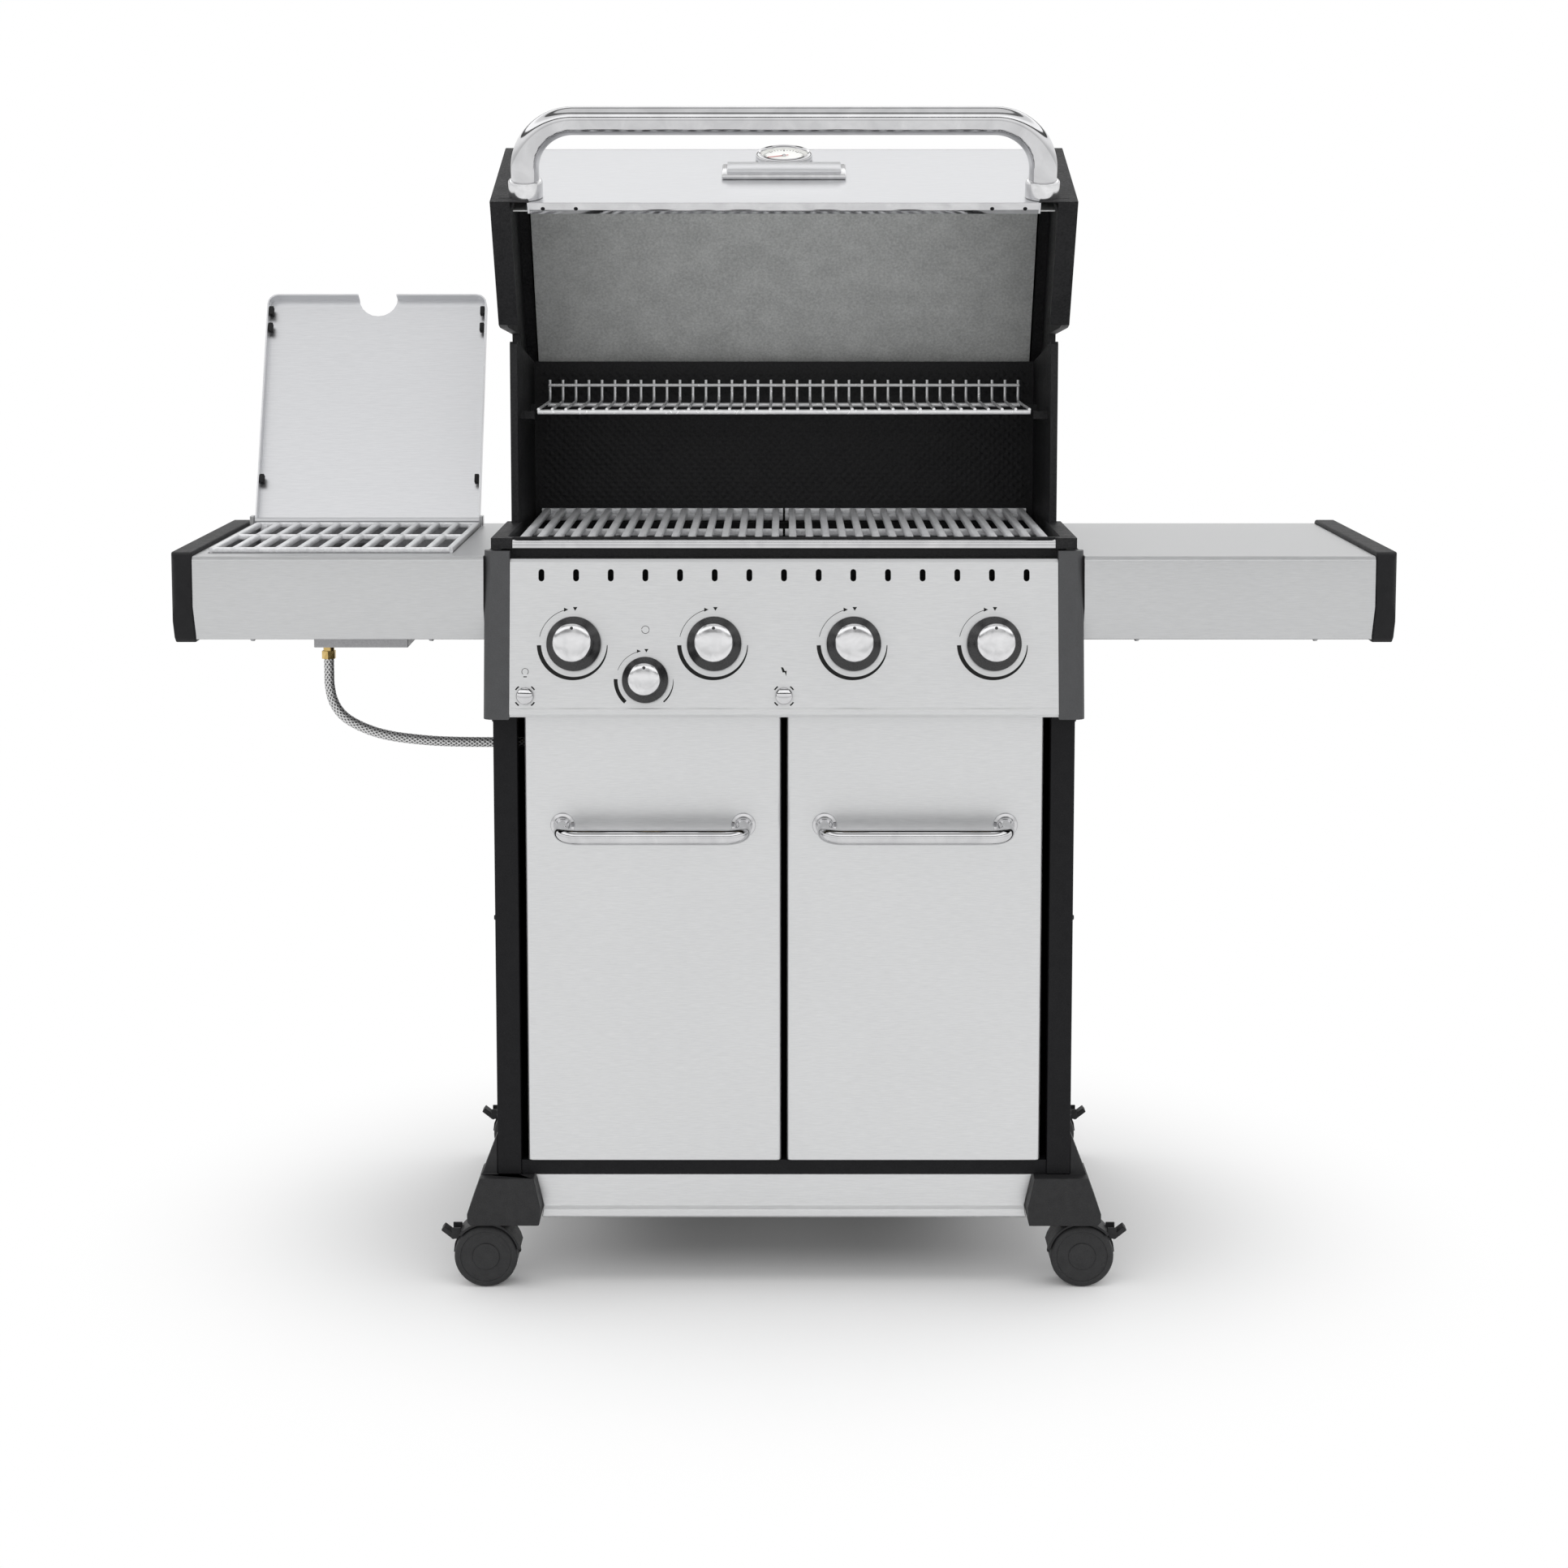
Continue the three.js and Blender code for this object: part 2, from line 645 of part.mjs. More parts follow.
// Half of the cooking grid: bars from front to back on three cross ribs.
function rightGrate() {
  const { top, thick, pitch, bars, bar, front, back } = GRATE;
  const width = pitch * bars;
  const gaps = Array.from({ length: bars - 1 }, (_, i) => {
    const x = pitch * (i + 1);
    const reach = (pitch - bar) / 2;
    return box(x - reach, x + reach, front + 7, back - 7, top - thick - 1, top + 1);
  });
  const plate = cut(box(1, width - 1, front, back, top - thick, top), ...gaps);
  const ribs = [front + 5, (front + back) / 2, back - 5].map((y) =>
    box(1, width - 1, y - 4, y + 4, top - thick - 9, top - thick + 1),
  );
  return join(plate, ...ribs);
}

// Warming rack: wires on a front and a back rod, turned up at the back.
function warmingRack() {
  const { half, z, front, back, top, wires, wire } = RACK;
  const line = [
    [front, z - wire],
    [back - 14, z - wire],
    [back - 4, z + 5],
    [back, top],
  ];
  const sheet = prism("x", strip(line, wire), -half, half);
  const pitch = (2 * half - wire) / (wires - 1);
  const gaps = Array.from({ length: wires - 1 }, (_, i) => {
    const x = -half + wire + i * pitch;
    return box(x, x + pitch - wire, front + 5, back + 5, z - 10, top - 5);
  });
  return cut(sheet, ...gaps);
}

// ---- lid ----
const lean = THREE.MathUtils.degToRad(LID.lean);
const fall = THREE.MathUtils.degToRad(LID.fall);

// A point of the lid's side view: up the front panel from its rim, and out from its face.
function onPanel(up, out) {
  return [
    LID.rimY + up * Math.sin(lean) - out * Math.cos(lean),
    LID.rimZ + up * Math.cos(lean) + out * Math.sin(lean),
  ];
}

// The lid's side view from the rim over the top to the back, moved inwards by a distance. It starts
// level with the rim, or a little way up from it.
function lidLine(inset, up, back) {
  const start = up + inset * Math.tan(lean);
  const [cy, cz] = onPanel(LID.panel, -LID.round);
  const bend = arc(cy, cz, LID.round - inset, 180 - LID.lean, 90 - LID.fall, 6);
  const [topY, topZ] = bend[bend.length - 1];
  return [onPanel(start, -inset), ...bend, [back, topZ - (back - topY) * Math.tan(fall)]];
}

const lid = swungGroup(HINGE);

// The skin is one sheet from the hem under the rim to the hem at the back.
function lidSkin() {
  const line = lidLine(0, 0, LID.back);
  const [rimY, rimZ] = line[0];
  const [endY, endZ] = line[line.length - 1];
  const whole = [[rimY + 16, rimZ], ...line, [endY + 2, endZ - 22]];
  return prism("x", strip(whole, -SHEET), -LID_HALF, LID_HALF);
}

function lidLiner() {
  const line = lidLine(LINER.inset, 14, LID.back - 14);
  return prism("x", strip(line, -SHEET), -LINER.half, LINER.half);
}

// A cast end: a plate outside the cook box's cheek, a band over the edge of the skin, and a rim
// flange. The plate is cut away diagonally behind the rim and reaches down to the hinge.
function lidCap() {
  const { outer, inner, band, flange } = LID_CAP;
  const edge = lidLine(-1.5, 0, LID.back + 3);
  const [backY, backZ] = edge[edge.length - 1];
  const outline = [
    ...edge,
    [backY, backZ - 80],
    ...arc(HINGE.y, HINGE.z, 28, 350, 205, 8),
    [322, 1080],
    [214, 944],
    [200, LID.rimZ],
  ];
  const plate = prism("x", outline, inner, outer);
  const hem = [
    [backY, backZ],
    [backY, backZ - 22],
    [backY - 3, backZ - 22],
  ];
  const bandLine = lidLine(band, 0, LID.back - 1).reverse();
  const rim = prism("x", [...edge, ...hem, ...bandLine], LINER.half + 2, inner + 1);
  const underLap = lidLine(-GAP, 0, LID.back + 3).reverse();
  const lap = prism("x", [...edge, ...underLap], LID_HALF - 2, inner - 5.5);
  const foot = box(flange, inner + 1, LID.rimY + 2, 200, LID.rimZ, LID.rimZ + 14);
  const wedge = prism("x", [onPanel(0, 1.5), [200, LID.rimZ], [200, 1250], [-60, 1250]], 300, outer);
  const pin = rod("x", [(inner + outer) / 2, HINGE.y, HINGE.z], 9, outer - inner + 3, 14);
  return join(plate, rim, lap, common(foot, wedge), pin);
}

// A round piece that stands on the lid's front panel.
function stud(x, up, from, radius, length, sides) {
  const round = new THREE.CylinderGeometry(radius, radius, length, sides);
  const [y, z] = onPanel(up, from + length / 2);
  return solid(round.rotateX(-lean).translate(x, y, z));
}

// The handle: a straight bar with a quarter bend down to a collar at each end.
function lidHandle() {
  const { up, reach, half, bend, radius } = LID_HANDLE;
  const out = (x, b) => {
    const [y, z] = onPanel(up, b);
    return [x, y, z];
  };
  const base = 2;
  const side = (s) => [
    out(s * half, base),
    out(s * half, base + 18),
    ...arc(half - bend, reach - bend, bend, 0, 90, 4).map(([x, b]) => out(s * x, b)),
  ];
  const right = side(1).reverse();
  const bar = tube([...side(-1), ...right], radius, 10, 30);
  const collar = (s) => stud(s * half, up, base, radius + 3, 22, 16);
  const behind = [onPanel(-40, base), onPanel(120, base), onPanel(120, -40), onPanel(-40, -40)];
  const face = prism("x", behind, -400, 400);
  return cut(join(bar, collar(-1), collar(1)), face);
}

function thermometer() {
  return stud(0, GAUGE.up, GAP, GAUGE.radius, GAUGE.thick, 24);
}

// ---- shelves ----
// A shelf is a folded box open underneath. Its front slopes back a little, with a rounded top edge,
// and a bracket carries it on the cook box.
function rightShelf() {
  const { inner, outer, top, bottom, depth, slope } = SHELF;
  const edge = arc(7, top - 7, 7, 180, 90, 4);
  const profile = [[0, top - 60], ...edge, [depth, top], [depth, bottom], [slope, bottom]];
  const block = prism("x", profile, inner, outer);
  const wall = 3;
  const hollow = [
    [slope + wall, bottom - 5],
    [wall, top - 60],
    [wall, top - wall],
    [depth - wall, top - wall],
    [depth - wall, bottom - 5],
  ];
  const shell = cut(block, prism("x", hollow, inner + wall, outer - wall));
  const bracket = box(BOX.half + GAP, inner + 1, 60, 380, 815, 890);
  return join(shell, bracket);
}

// The left shelf is cut out for the side burner's well and has the lugs of its lid.
function leftShelf() {
  const well = box(WELL.left, WELL.right, WELL.front, WELL.back, 850, 950);
  const lug = (x) => box(x - 2.5, x + 2.5, SIDE_LID.y - 8, SIDE_LID.y + 8, SHELF.top - 1, SIDE_LID.z + 6);
  const lugs = [lug(SIDE_LID.left - 3.1), lug(SIDE_LID.right + 3.1)];
  return join(cut(mirrored(rightShelf()), well), ...lugs);
}

function rightShelfCap() {
  const { outer, top, bottom } = SHELF_CAP;
  const inner = SHELF.outer + GAP;
  const side = [[-3, 850], ...arc(9, top - 12, 12, 180, 90, 4), ...arc(428, top - 12, 12, 90, 0, 4)];
  side.push([440, bottom + 8], [432, bottom], [24, bottom], [16, bottom + 6]);
  const plan = rounded(inner, outer, -4, 441, [0.5, 12, 12, 0.5]);
  return common(prism("x", side, inner, outer), prism("z", plan, 790, 930));
}

// ---- side burner ----
// The well hangs in the shelf by its rim and holds a round burner, with its valve box underneath.
function sideBurner() {
  const { left, right, front, back, floor } = WELL;
  const top = SHELF.top - 1;
  const pan = box(left + GAP, right - GAP, front + GAP, back - GAP, floor, top);
  const hollow = box(left + 3, right - 3, front + 3, back - 3, floor + 3, top + 5);
  const x = (left + right) / 2;
  const y = (front + back) / 2;
  const head = rod("z", [x, y, (floor + 892) / 2], 42, 892 - floor, 20);
  const venturi = box(x - 20, x + 20, y - 20, y + 20, 790, floor + 1);
  const plate = box(-590, -472, y - 30, y + 60, 774, 792);
  return join(cut(pan, hollow), head, venturi, plate);
}

function sideBurnerGrate() {
  const { top, thick, pitch, bars, bar } = SIDE_GRATE;
  const x = (WELL.left + WELL.right) / 2;
  const y = (WELL.front + WELL.back) / 2;
  const halfWidth = (pitch * bars) / 2 - 2;
  const halfDepth = 168;
  const gaps = [];
  for (let i = 0; i < bars; i += 1) {
    const gapX = x + (i - (bars - 1) / 2) * pitch;
    const reach = (pitch - bar) / 2;
    gaps.push(box(gapX - reach, gapX + reach, y - halfDepth + 6, y - 5, top - thick - 1, top + 1));
    gaps.push(box(gapX - reach, gapX + reach, y + 5, y + halfDepth - 6, top - thick - 1, top + 1));
  }
  const plate = box(x - halfWidth - 3, x + halfWidth + 3, y - halfDepth, y + halfDepth, top - thick, top);
  const grid = cut(plate, ...gaps);
  const feet = [-1, 1].flatMap((s) =>
    [-1, 1].map((t) => {
      const footX = x + s * (halfWidth - 5);
      const footY = y + t * (halfDepth - 4);
      return box(footX - 4, footX + 4, footY - 3, footY + 3, WELL.floor + 3 + GAP, top - thick + 1);
    }),
  );
  return join(grid, ...feet);
}

// The lid is a shallow pan with a finger notch in its free edge.
function sideBurnerLid() {
  const { y, z, left, right, length, rise } = SIDE_LID;
  const low = z - 0.4;
  const high = z + rise + SHEET;
  const edges = rounded(left, right, y - length, y - 3, [14, 14, 2, 2]);
  const pan = prism("z", edges, low, high);
  const inside = rounded(left + 2, right - 2, y - length + 2, y + 5, [12, 12, 1, 1]);
  const hollow = prism("z", inside, low - 5, high - SHEET);
  const notch = rod("z", [(left + right) / 2, y - length, z], 26, 80, 20);
  const barrel = rod("x", [(left + right) / 2, y, z], 3.5, right - left, 10);
  const tabs = [left, right - 2].map((x) => box(x, x + 2, y - 10, y + 3.5, low, z + 5));
  return join(cut(pan, hollow, notch), barrel, ...tabs);
}

function sideBurnerValve() {
  const [x, y, top] = HOSE_ROUTE[0];
  const nut = rod("z", [x, y, top + GAP + 5], 9.5, 10, 6);
  const neck = rod("z", [x, y, top + GAP + 15.7], 7, 12, 12);
  return join(nut, neck);
}

// ---- assembly ----
add("side_panel_left", leftSidePanel(), "enamel");
add("side_panel_right", sidePanel(), "enamel");
add("back_panel", backPanel(), "enamel");
add("bottom_shelf", cabinetFloor(), "enamel");
add("kick_panel", kickPanel(), "brushed");

add("foot_front_right", foot(), "resin");
add("foot_front_left", mirrored(foot()), "resin");
add("foot_rear_right", rearOf(foot()), "resin");
add("foot_rear_left", rearOf(mirrored(foot())), "resin");

const REAR_STEM = CART.front + CART.back - STEM.front;
addCaster("front_left", -STEM.x, STEM.front);
addCaster("front_right", STEM.x, STEM.front);
addCaster("rear_left", -STEM.x, REAR_STEM);
addCaster("rear_right", STEM.x, REAR_STEM);

add("door_left", leftDoor(), "brushed");
add("door_right", mirrored(leftDoor()), "brushed");
add("door_handle_left", leftDoorHandle(), "polished");
add("door_handle_right", mirrored(leftDoorHandle()), "polished");

add("control_panel", controlPanel(), "brushed", panelGroup);
add("panel_cap_right", panelCap(), "greyCap");
add("panel_cap_left", mirrored(panelCap()), "greyCap");
KNOB_XS.forEach((x, i) => add(`knob_${i + 1}`, knob({ ...KNOB, x }), "resin", panelGroup));
add("knob_side", knob(SIDE_KNOB), "resin", panelGroup);
for (const [name, x] of Object.entries(BUTTON_XS)) add(`${name}_button`, button(x), "polished", panelGroup);

add("gas_manifold", gasManifold(), "brass");
add("burner_set", burnerSet(), "wire");
add("heat_tents", heatTents(), "castGrate");
add("cook_box", cookBox(), "casting");
add("grease_tray", greaseTray(), "wire");
add("grease_tray_rim", greaseTrayRim(), "wire");
add("front_trim", frontTrim(), "polished");
add("grate_right", rightGrate(), "castGrate");
add("grate_left", mirrored(rightGrate()), "castGrate");
add("warming_rack", warmingRack(), "wire");

add("lid_skin", lidSkin(), "brushed", lid);
add("lid_liner", lidLiner(), "castGrate", lid);
add("lid_cap_right", lidCap(), "casting", lid);
add("lid_cap_left", mirrored(lidCap()), "casting", lid);
add("lid_handle", lidHandle(), "polished", lid);
add("lid_thermometer", thermometer(), "polished", lid);

add("shelf_right", rightShelf(), "brushed");
add("shelf_left", leftShelf(), "brushed");
add("shelf_cap_right", rightShelfCap(), "resin");
add("shelf_cap_left", mirrored(rightShelfCap()), "resin");
add("side_burner", sideBurner(), "castGrate");
add("side_burner_grate", sideBurnerGrate(), "castGrate");
add("side_burner_valve", sideBurnerValve(), "brass");
add("side_burner_lid", sideBurnerLid(), "brushed", swungGroup(SIDE_LID));
add("side_hose", tube(HOSE_ROUTE, HOSE.radius, HOSE.sides, HOSE.steps), "braid");

grill.position.y = -MIDDLE_DEPTH;

export default grill;
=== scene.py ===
import math

import bmesh
import bpy
from mathutils import Matrix, Vector


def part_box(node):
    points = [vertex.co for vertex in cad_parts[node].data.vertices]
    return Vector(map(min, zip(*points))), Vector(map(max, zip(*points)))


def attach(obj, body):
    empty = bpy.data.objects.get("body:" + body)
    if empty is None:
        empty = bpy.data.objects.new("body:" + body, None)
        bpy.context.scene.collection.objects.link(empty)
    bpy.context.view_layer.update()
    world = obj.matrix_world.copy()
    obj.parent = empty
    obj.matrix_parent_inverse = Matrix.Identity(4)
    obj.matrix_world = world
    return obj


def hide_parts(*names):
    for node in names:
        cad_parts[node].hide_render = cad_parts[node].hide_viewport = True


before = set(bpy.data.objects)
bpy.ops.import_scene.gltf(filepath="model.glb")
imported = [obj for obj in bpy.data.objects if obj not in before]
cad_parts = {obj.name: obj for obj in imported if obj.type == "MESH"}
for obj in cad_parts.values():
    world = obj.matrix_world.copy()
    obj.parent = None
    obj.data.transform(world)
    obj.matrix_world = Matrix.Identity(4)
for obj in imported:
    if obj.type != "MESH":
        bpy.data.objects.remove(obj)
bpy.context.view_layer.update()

# ---- Camera ----
# The grill stands square to a viewer about four metres away, whose eyes are just under the height
# of the open lid, and who looks down a little at the cart.
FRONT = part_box("shelf_left")[0].y  # the front face of the side shelves
camera = bpy.data.objects.new("camera", bpy.data.cameras.new("camera"))
camera.data.sensor_width = 36
camera.data.lens = 70.5
camera.data.shift_y = -0.12
camera.location = (0, FRONT - 3.636, 1.283)
camera.rotation_euler = (math.radians(90 - 6.62), 0, 0)
bpy.context.collection.objects.link(camera)
bpy.context.scene.camera = camera

# ---- Side burner hose ----
# A rubber gas hose in a woven steel sleeve, crimped at both ends. It hangs from the side burner's
# brass fitting and goes through a hole in the left cart side to the manifold's branch.
HOSE_RADIUS = 0.0065
STRAND_DEPTH = 0.015  # how far the sleeve dips between its strands, as a share of the radius
HOSE_ROUTE = [
    (-0.581, 0.250, 0.7515),
    (-0.581, 0.250, 0.735),
    (-0.5805, 0.250, 0.716),
    (-0.576, 0.250, 0.696),
    (-0.565, 0.250, 0.679),
    (-0.548, 0.250, 0.667),
    (-0.526, 0.250, 0.6575),
    (-0.503, 0.250, 0.6515),
    (-0.477, 0.250, 0.6478),
    (-0.446, 0.250, 0.645),
    (-0.412, 0.250, 0.6438),
    (-0.380, 0.250, 0.6435),
    (-0.350, 0.250, 0.6435),
    (-0.330, 0.250, 0.6435),
    (-0.3095, 0.250, 0.6435),
]


def smooth_route(points, step):
    """Points about one step apart on a Catmull-Rom curve through the given points."""
    ends = [2 * points[0] - points[1], *points, 2 * points[-1] - points[-2]]
    route = [points[0]]
    for before, a, b, after in zip(ends, ends[1:], ends[2:], ends[3:]):
        pieces = max(1, round((b - a).length / step))
        for i in range(1, pieces + 1):
            t = i / pieces
            route.append(
                0.5 * ((2 * a) + (b - before) * t + (2 * before - 5 * a + 4 * b - after) * t * t
                       + (3 * a - before - 3 * b + after) * t ** 3)
            )
    return route


def linked(name, mesh, *finishes):
    """A mesh as an object in the scene, with its materials."""
    for finish in finishes:
        mesh.materials.append(finish)
    piece = bpy.data.objects.new(name, mesh)
    bpy.context.collection.objects.link(piece)
    return piece


def shade(mesh, degrees):
    """Smooth shading that keeps every edge sharper than an angle."""
    mesh.polygons.foreach_set("use_smooth", [True] * len(mesh.polygons))
    mesh.set_sharp_from_angle(angle=math.radians(degrees))


def finished_shape(name, shape, degrees, *finishes):
    """An edited shape as an object in the scene. Edges sharper than the angle stay sharp."""
    mesh = bpy.data.meshes.new(name)
    shape.to_mesh(mesh)
    shape.free()
    shade(mesh, degrees)
    return linked(name, mesh, *finishes)


def swept_tube(name, route, radii, sides, finish):
    """A closed round tube along a route, with a UV map that runs along and round it."""
    shape = bmesh.new()
    uv = shape.loops.layers.uv.new("along")
    tangents = [(b - a).normalized() for a, b in zip(route, route[1:])]
    tangents.append(tangents[-1])
    across = tangents[0].orthogonal().normalized()
    rings = []
    for point, along, radius in zip(route, tangents, radii):
        across = (across - along * across.dot(along)).normalized()
        other = along.cross(across)
        turns = [2 * math.pi * k / sides for k in range(sides)]
        rings.append([shape.verts.new(point + radius * (math.cos(t) * across + math.sin(t) * other))
                      for t in turns])
    travelled = 0.0
    for i, (low, high) in enumerate(zip(rings, rings[1:])):
        reach = (route[i + 1] - route[i]).length
        for k in range(sides):
            n = (k + 1) % sides
            face = shape.faces.new((low[k], low[n], high[n], high[k]))
            corners = ((k, travelled), (k + 1, travelled),
                       (k + 1, travelled + reach), (k, travelled + reach))
            for loop, (turn, length) in zip(face.loops, corners):
                loop[uv].uv = (turn / sides, length)
        travelled += reach
    shape.faces.new(list(reversed(rings[0])))
    shape.faces.new(rings[-1])
    return finished_shape(name, shape, 50, finish)


def effect(name, inputs, outputs):
    """An empty shader group with named sockets, and its input and output nodes."""
    group = bpy.data.node_groups.new(name, "ShaderNodeTree")
    kinds = {"color": "NodeSocketColor", "vector": "NodeSocketVector", "float": "NodeSocketFloat"}
    for socket, kind in inputs:
        group.interface.new_socket(name=socket, in_out="INPUT", socket_type=kinds[kind])
    for socket, kind in outputs:
        group.interface.new_socket(name=socket, in_out="OUTPUT", socket_type=kinds[kind])
    return group, group.nodes.new("NodeGroupInput"), group.nodes.new("NodeGroupOutput")


def node(tree, kind, values=(), **settings):
    """A node with its settings, and values for its inputs by name or number."""
    made = tree.nodes.new(kind)
    for key, value in settings.items():
        setattr(made, key, value)
    for key, value in dict(values).items():
        made.inputs[key].default_value = value
    return made


SURFACE_INPUTS = [("Vector", "vector"), ("Scale", "vector"), ("Dark", "color"), ("Light", "color"),
                  ("Smooth", "float"), ("Rough", "float")]
SURFACE_OUTPUTS = [("Color", "color"), ("Roughness", "float"), ("Height", "float")]


def scaled_place(group, given):
    """A group's Vector times its Scale."""
    scaled = node(group, "ShaderNodeVectorMath", operation="MULTIPLY")
    group.links.new(given.outputs["Vector"], scaled.inputs[0])
    group.links.new(given.outputs["Scale"], scaled.inputs[1])
    return scaled.outputs[0]


def blended_outputs(group, given, out, pattern, low, high):
    """Mixes a group's two colours and two roughnesses by a pattern, from its low to its high value."""
    link = group.links.new
    ramp = node(group, "ShaderNodeMapRange", {1: low, 2: high})
    link(pattern, ramp.inputs[0])
    mask = ramp.outputs[0]
    colour = node(group, "ShaderNodeMix", data_type="RGBA")
    link(mask, colour.inputs[0])
    link(given.outputs["Dark"], colour.inputs[6])
    link(given.outputs["Light"], colour.inputs[7])
    rough = node(group, "ShaderNodeMix", data_type="FLOAT")
    link(mask, rough.inputs[0])
    link(given.outputs["Smooth"], rough.inputs[2])
    link(given.outputs["Rough"], rough.inputs[3])
    link(colour.outputs[2], out.inputs["Color"])
    link(rough.outputs[0], out.inputs["Roughness"])
    link(mask, out.inputs["Height"])


def build_woven_sleeve():
    """Crossing diagonal strands on a tube: Scale is strands round, crossings along, and nothing."""
    group, given, out = effect("woven sleeve", SURFACE_INPUTS, SURFACE_OUTPUTS)
    link = group.links.new
    split = node(group, "ShaderNodeSeparateXYZ")
    link(scaled_place(group, given), split.inputs[0])
    waves = []
    for operation in ("ADD", "SUBTRACT"):
        lean = node(group, "ShaderNodeMath", operation=operation)
        link(split.outputs[0], lean.inputs[0])
        link(split.outputs[1], lean.inputs[1])
        turn = node(group, "ShaderNodeMath", {1: 2 * math.pi}, operation="MULTIPLY")
        link(lean.outputs[0], turn.inputs[0])
        wave = node(group, "ShaderNodeMath", operation="SINE")
        link(turn.outputs[0], wave.inputs[0])
        waves.append(wave)
    top = node(group, "ShaderNodeMath", operation="MAXIMUM")
    link(waves[0].outputs[0], top.inputs[0])
    link(waves[1].outputs[0], top.inputs[1])
    blended_outputs(group, given, out, top.outputs[0], -0.6, 0.9)
    return group


def surfaced(name, group, scale, dark, light, smooth, rough, metallic, bump, specular=0.5,
             mapped="Object"):
    """A material whose colour, roughness and fine relief come from one of the surface groups."""
    finish = bpy.data.materials.new(name)
    finish.use_nodes = True
    tree = finish.node_tree
    shader = tree.nodes["Principled BSDF"]
    shader.inputs["Metallic"].default_value = metallic
    shader.inputs["Specular IOR Level"].default_value = specular
    place = node(tree, "ShaderNodeTexCoord")
    pattern = node(tree, "ShaderNodeGroup", node_tree=group)
    pattern.inputs["Scale"].default_value = scale
    pattern.inputs["Dark"].default_value = (*dark, 1)
    pattern.inputs["Light"].default_value = (*light, 1)
    pattern.inputs["Smooth"].default_value = smooth
    pattern.inputs["Rough"].default_value = rough
    relief = node(tree, "ShaderNodeBump", {"Strength": 1.0, "Distance": bump})
    tree.links.new(place.outputs[mapped], pattern.inputs["Vector"])
    tree.links.new(pattern.outputs["Color"], shader.inputs["Base Color"])
    tree.links.new(pattern.outputs["Roughness"], shader.inputs["Roughness"])
    tree.links.new(pattern.outputs["Height"], relief.inputs["Height"])
    tree.links.new(relief.outputs["Normal"], shader.inputs["Normal"])
    finish.diffuse_color = (*light, 1)
    return finish


woven_sleeve = build_woven_sleeve()
sleeve_steel = surfaced("sleeve_steel", woven_sleeve, (8, 150, 0), (0.12, 0.12, 0.12),
                        (0.74, 0.74, 0.74), 0.5, 0.3, 0.75, 0.0006, mapped="UV")
hose_route = smooth_route([Vector((x, y + FRONT, z)) for x, y, z in HOSE_ROUTE], 0.0015)
hose_radii = [HOSE_RADIUS * (1 - STRAND_DEPTH + STRAND_DEPTH * math.cos(2 * math.pi * i / 3))
              for i in range(len(hose_route))]
hose = swept_tube("woven_hose", hose_route, hose_radii, 24, sleeve_steel)
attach(hose, "cart")
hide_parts("side_hose")

# ---- Cart frame ----
# Two folded steel sides with boxed posts, a back panel and the cabinet's floor, screwed together.
# Every sheet is powder coated black, with a faint orange-peel texture.
def build_fine_pebble():
    """A fine uneven skin, as on a coating, a casting or a moulding. Scale is how many grains a metre."""
    group, given, out = effect("fine pebble", SURFACE_INPUTS, SURFACE_OUTPUTS)
    link = group.links.new
    scaled = scaled_place(group, given)
    grains = node(group, "ShaderNodeTexNoise", {"Scale": 1.0, "Detail": 3.0, "Roughness": 0.62})
    link(scaled, grains.inputs["Vector"])
    patches = node(group, "ShaderNodeTexNoise", {"Scale": 0.09, "Detail": 3.0})
    link(scaled, patches.inputs["Vector"])
    both = node(group, "ShaderNodeMix", {0: 0.3}, data_type="FLOAT")
    link(grains.outputs[0], both.inputs[2])
    link(patches.outputs[0], both.inputs[3])
    blended_outputs(group, given, out, both.outputs[0], 0.34, 0.66)
    return group


def baked(holder):
    """The plain mesh that an object's modifiers make. The object is removed."""
    depsgraph = bpy.context.evaluated_depsgraph_get()
    mesh = bpy.data.meshes.new_from_object(holder.evaluated_get(depsgraph))
    bpy.data.objects.remove(holder)
    return mesh


def softened(cad_node, name, body, finish, width, segments=2):
    """A piece in a CAD node's shape with its edges rounded over, standing for that node."""
    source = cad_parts[cad_node].data
    shape = bmesh.new()
    corners = [shape.verts.new(v.co) for v in source.vertices]
    for polygon in source.polygons:
        shape.faces.new([corners[i] for i in polygon.vertices])
    bmesh.ops.remove_doubles(shape, verts=shape.verts, dist=1e-5)
    bmesh.ops.dissolve_limit(shape, angle_limit=math.radians(1.5), verts=shape.verts,
                             edges=shape.edges)
    rough_mesh = bpy.data.meshes.new(name)
    shape.to_mesh(rough_mesh)
    shape.free()
    rough = linked(name + "_rough", rough_mesh)
    shade(rough_mesh, 40)
    if width:
        rounding = rough.modifiers.new("rounding", "BEVEL")
        rounding.width = width
        rounding.segments = segments
        rounding.limit_method = "ANGLE"
        rounding.angle_limit = math.radians(32)
    evened = rough.modifiers.new("evened", "WEIGHTED_NORMAL")
    evened.keep_sharp = True
    piece = linked(name, baked(rough), finish)
    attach(piece, body)
    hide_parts(cad_node)
    return piece


fine_pebble = build_fine_pebble()
powder_coat = surfaced("black_powder_coat", fine_pebble, (700, 700, 700), (0.005, 0.005, 0.006),
                       (0.011, 0.011, 0.012), 0.38, 0.52, 0.0, 0.00012, 0.15)
for cad_node in ("side_panel_left", "side_panel_right", "back_panel", "bottom_shelf"):
    softened(cad_node, "coated_" + cad_node, "cart", powder_coat, 0.0012)

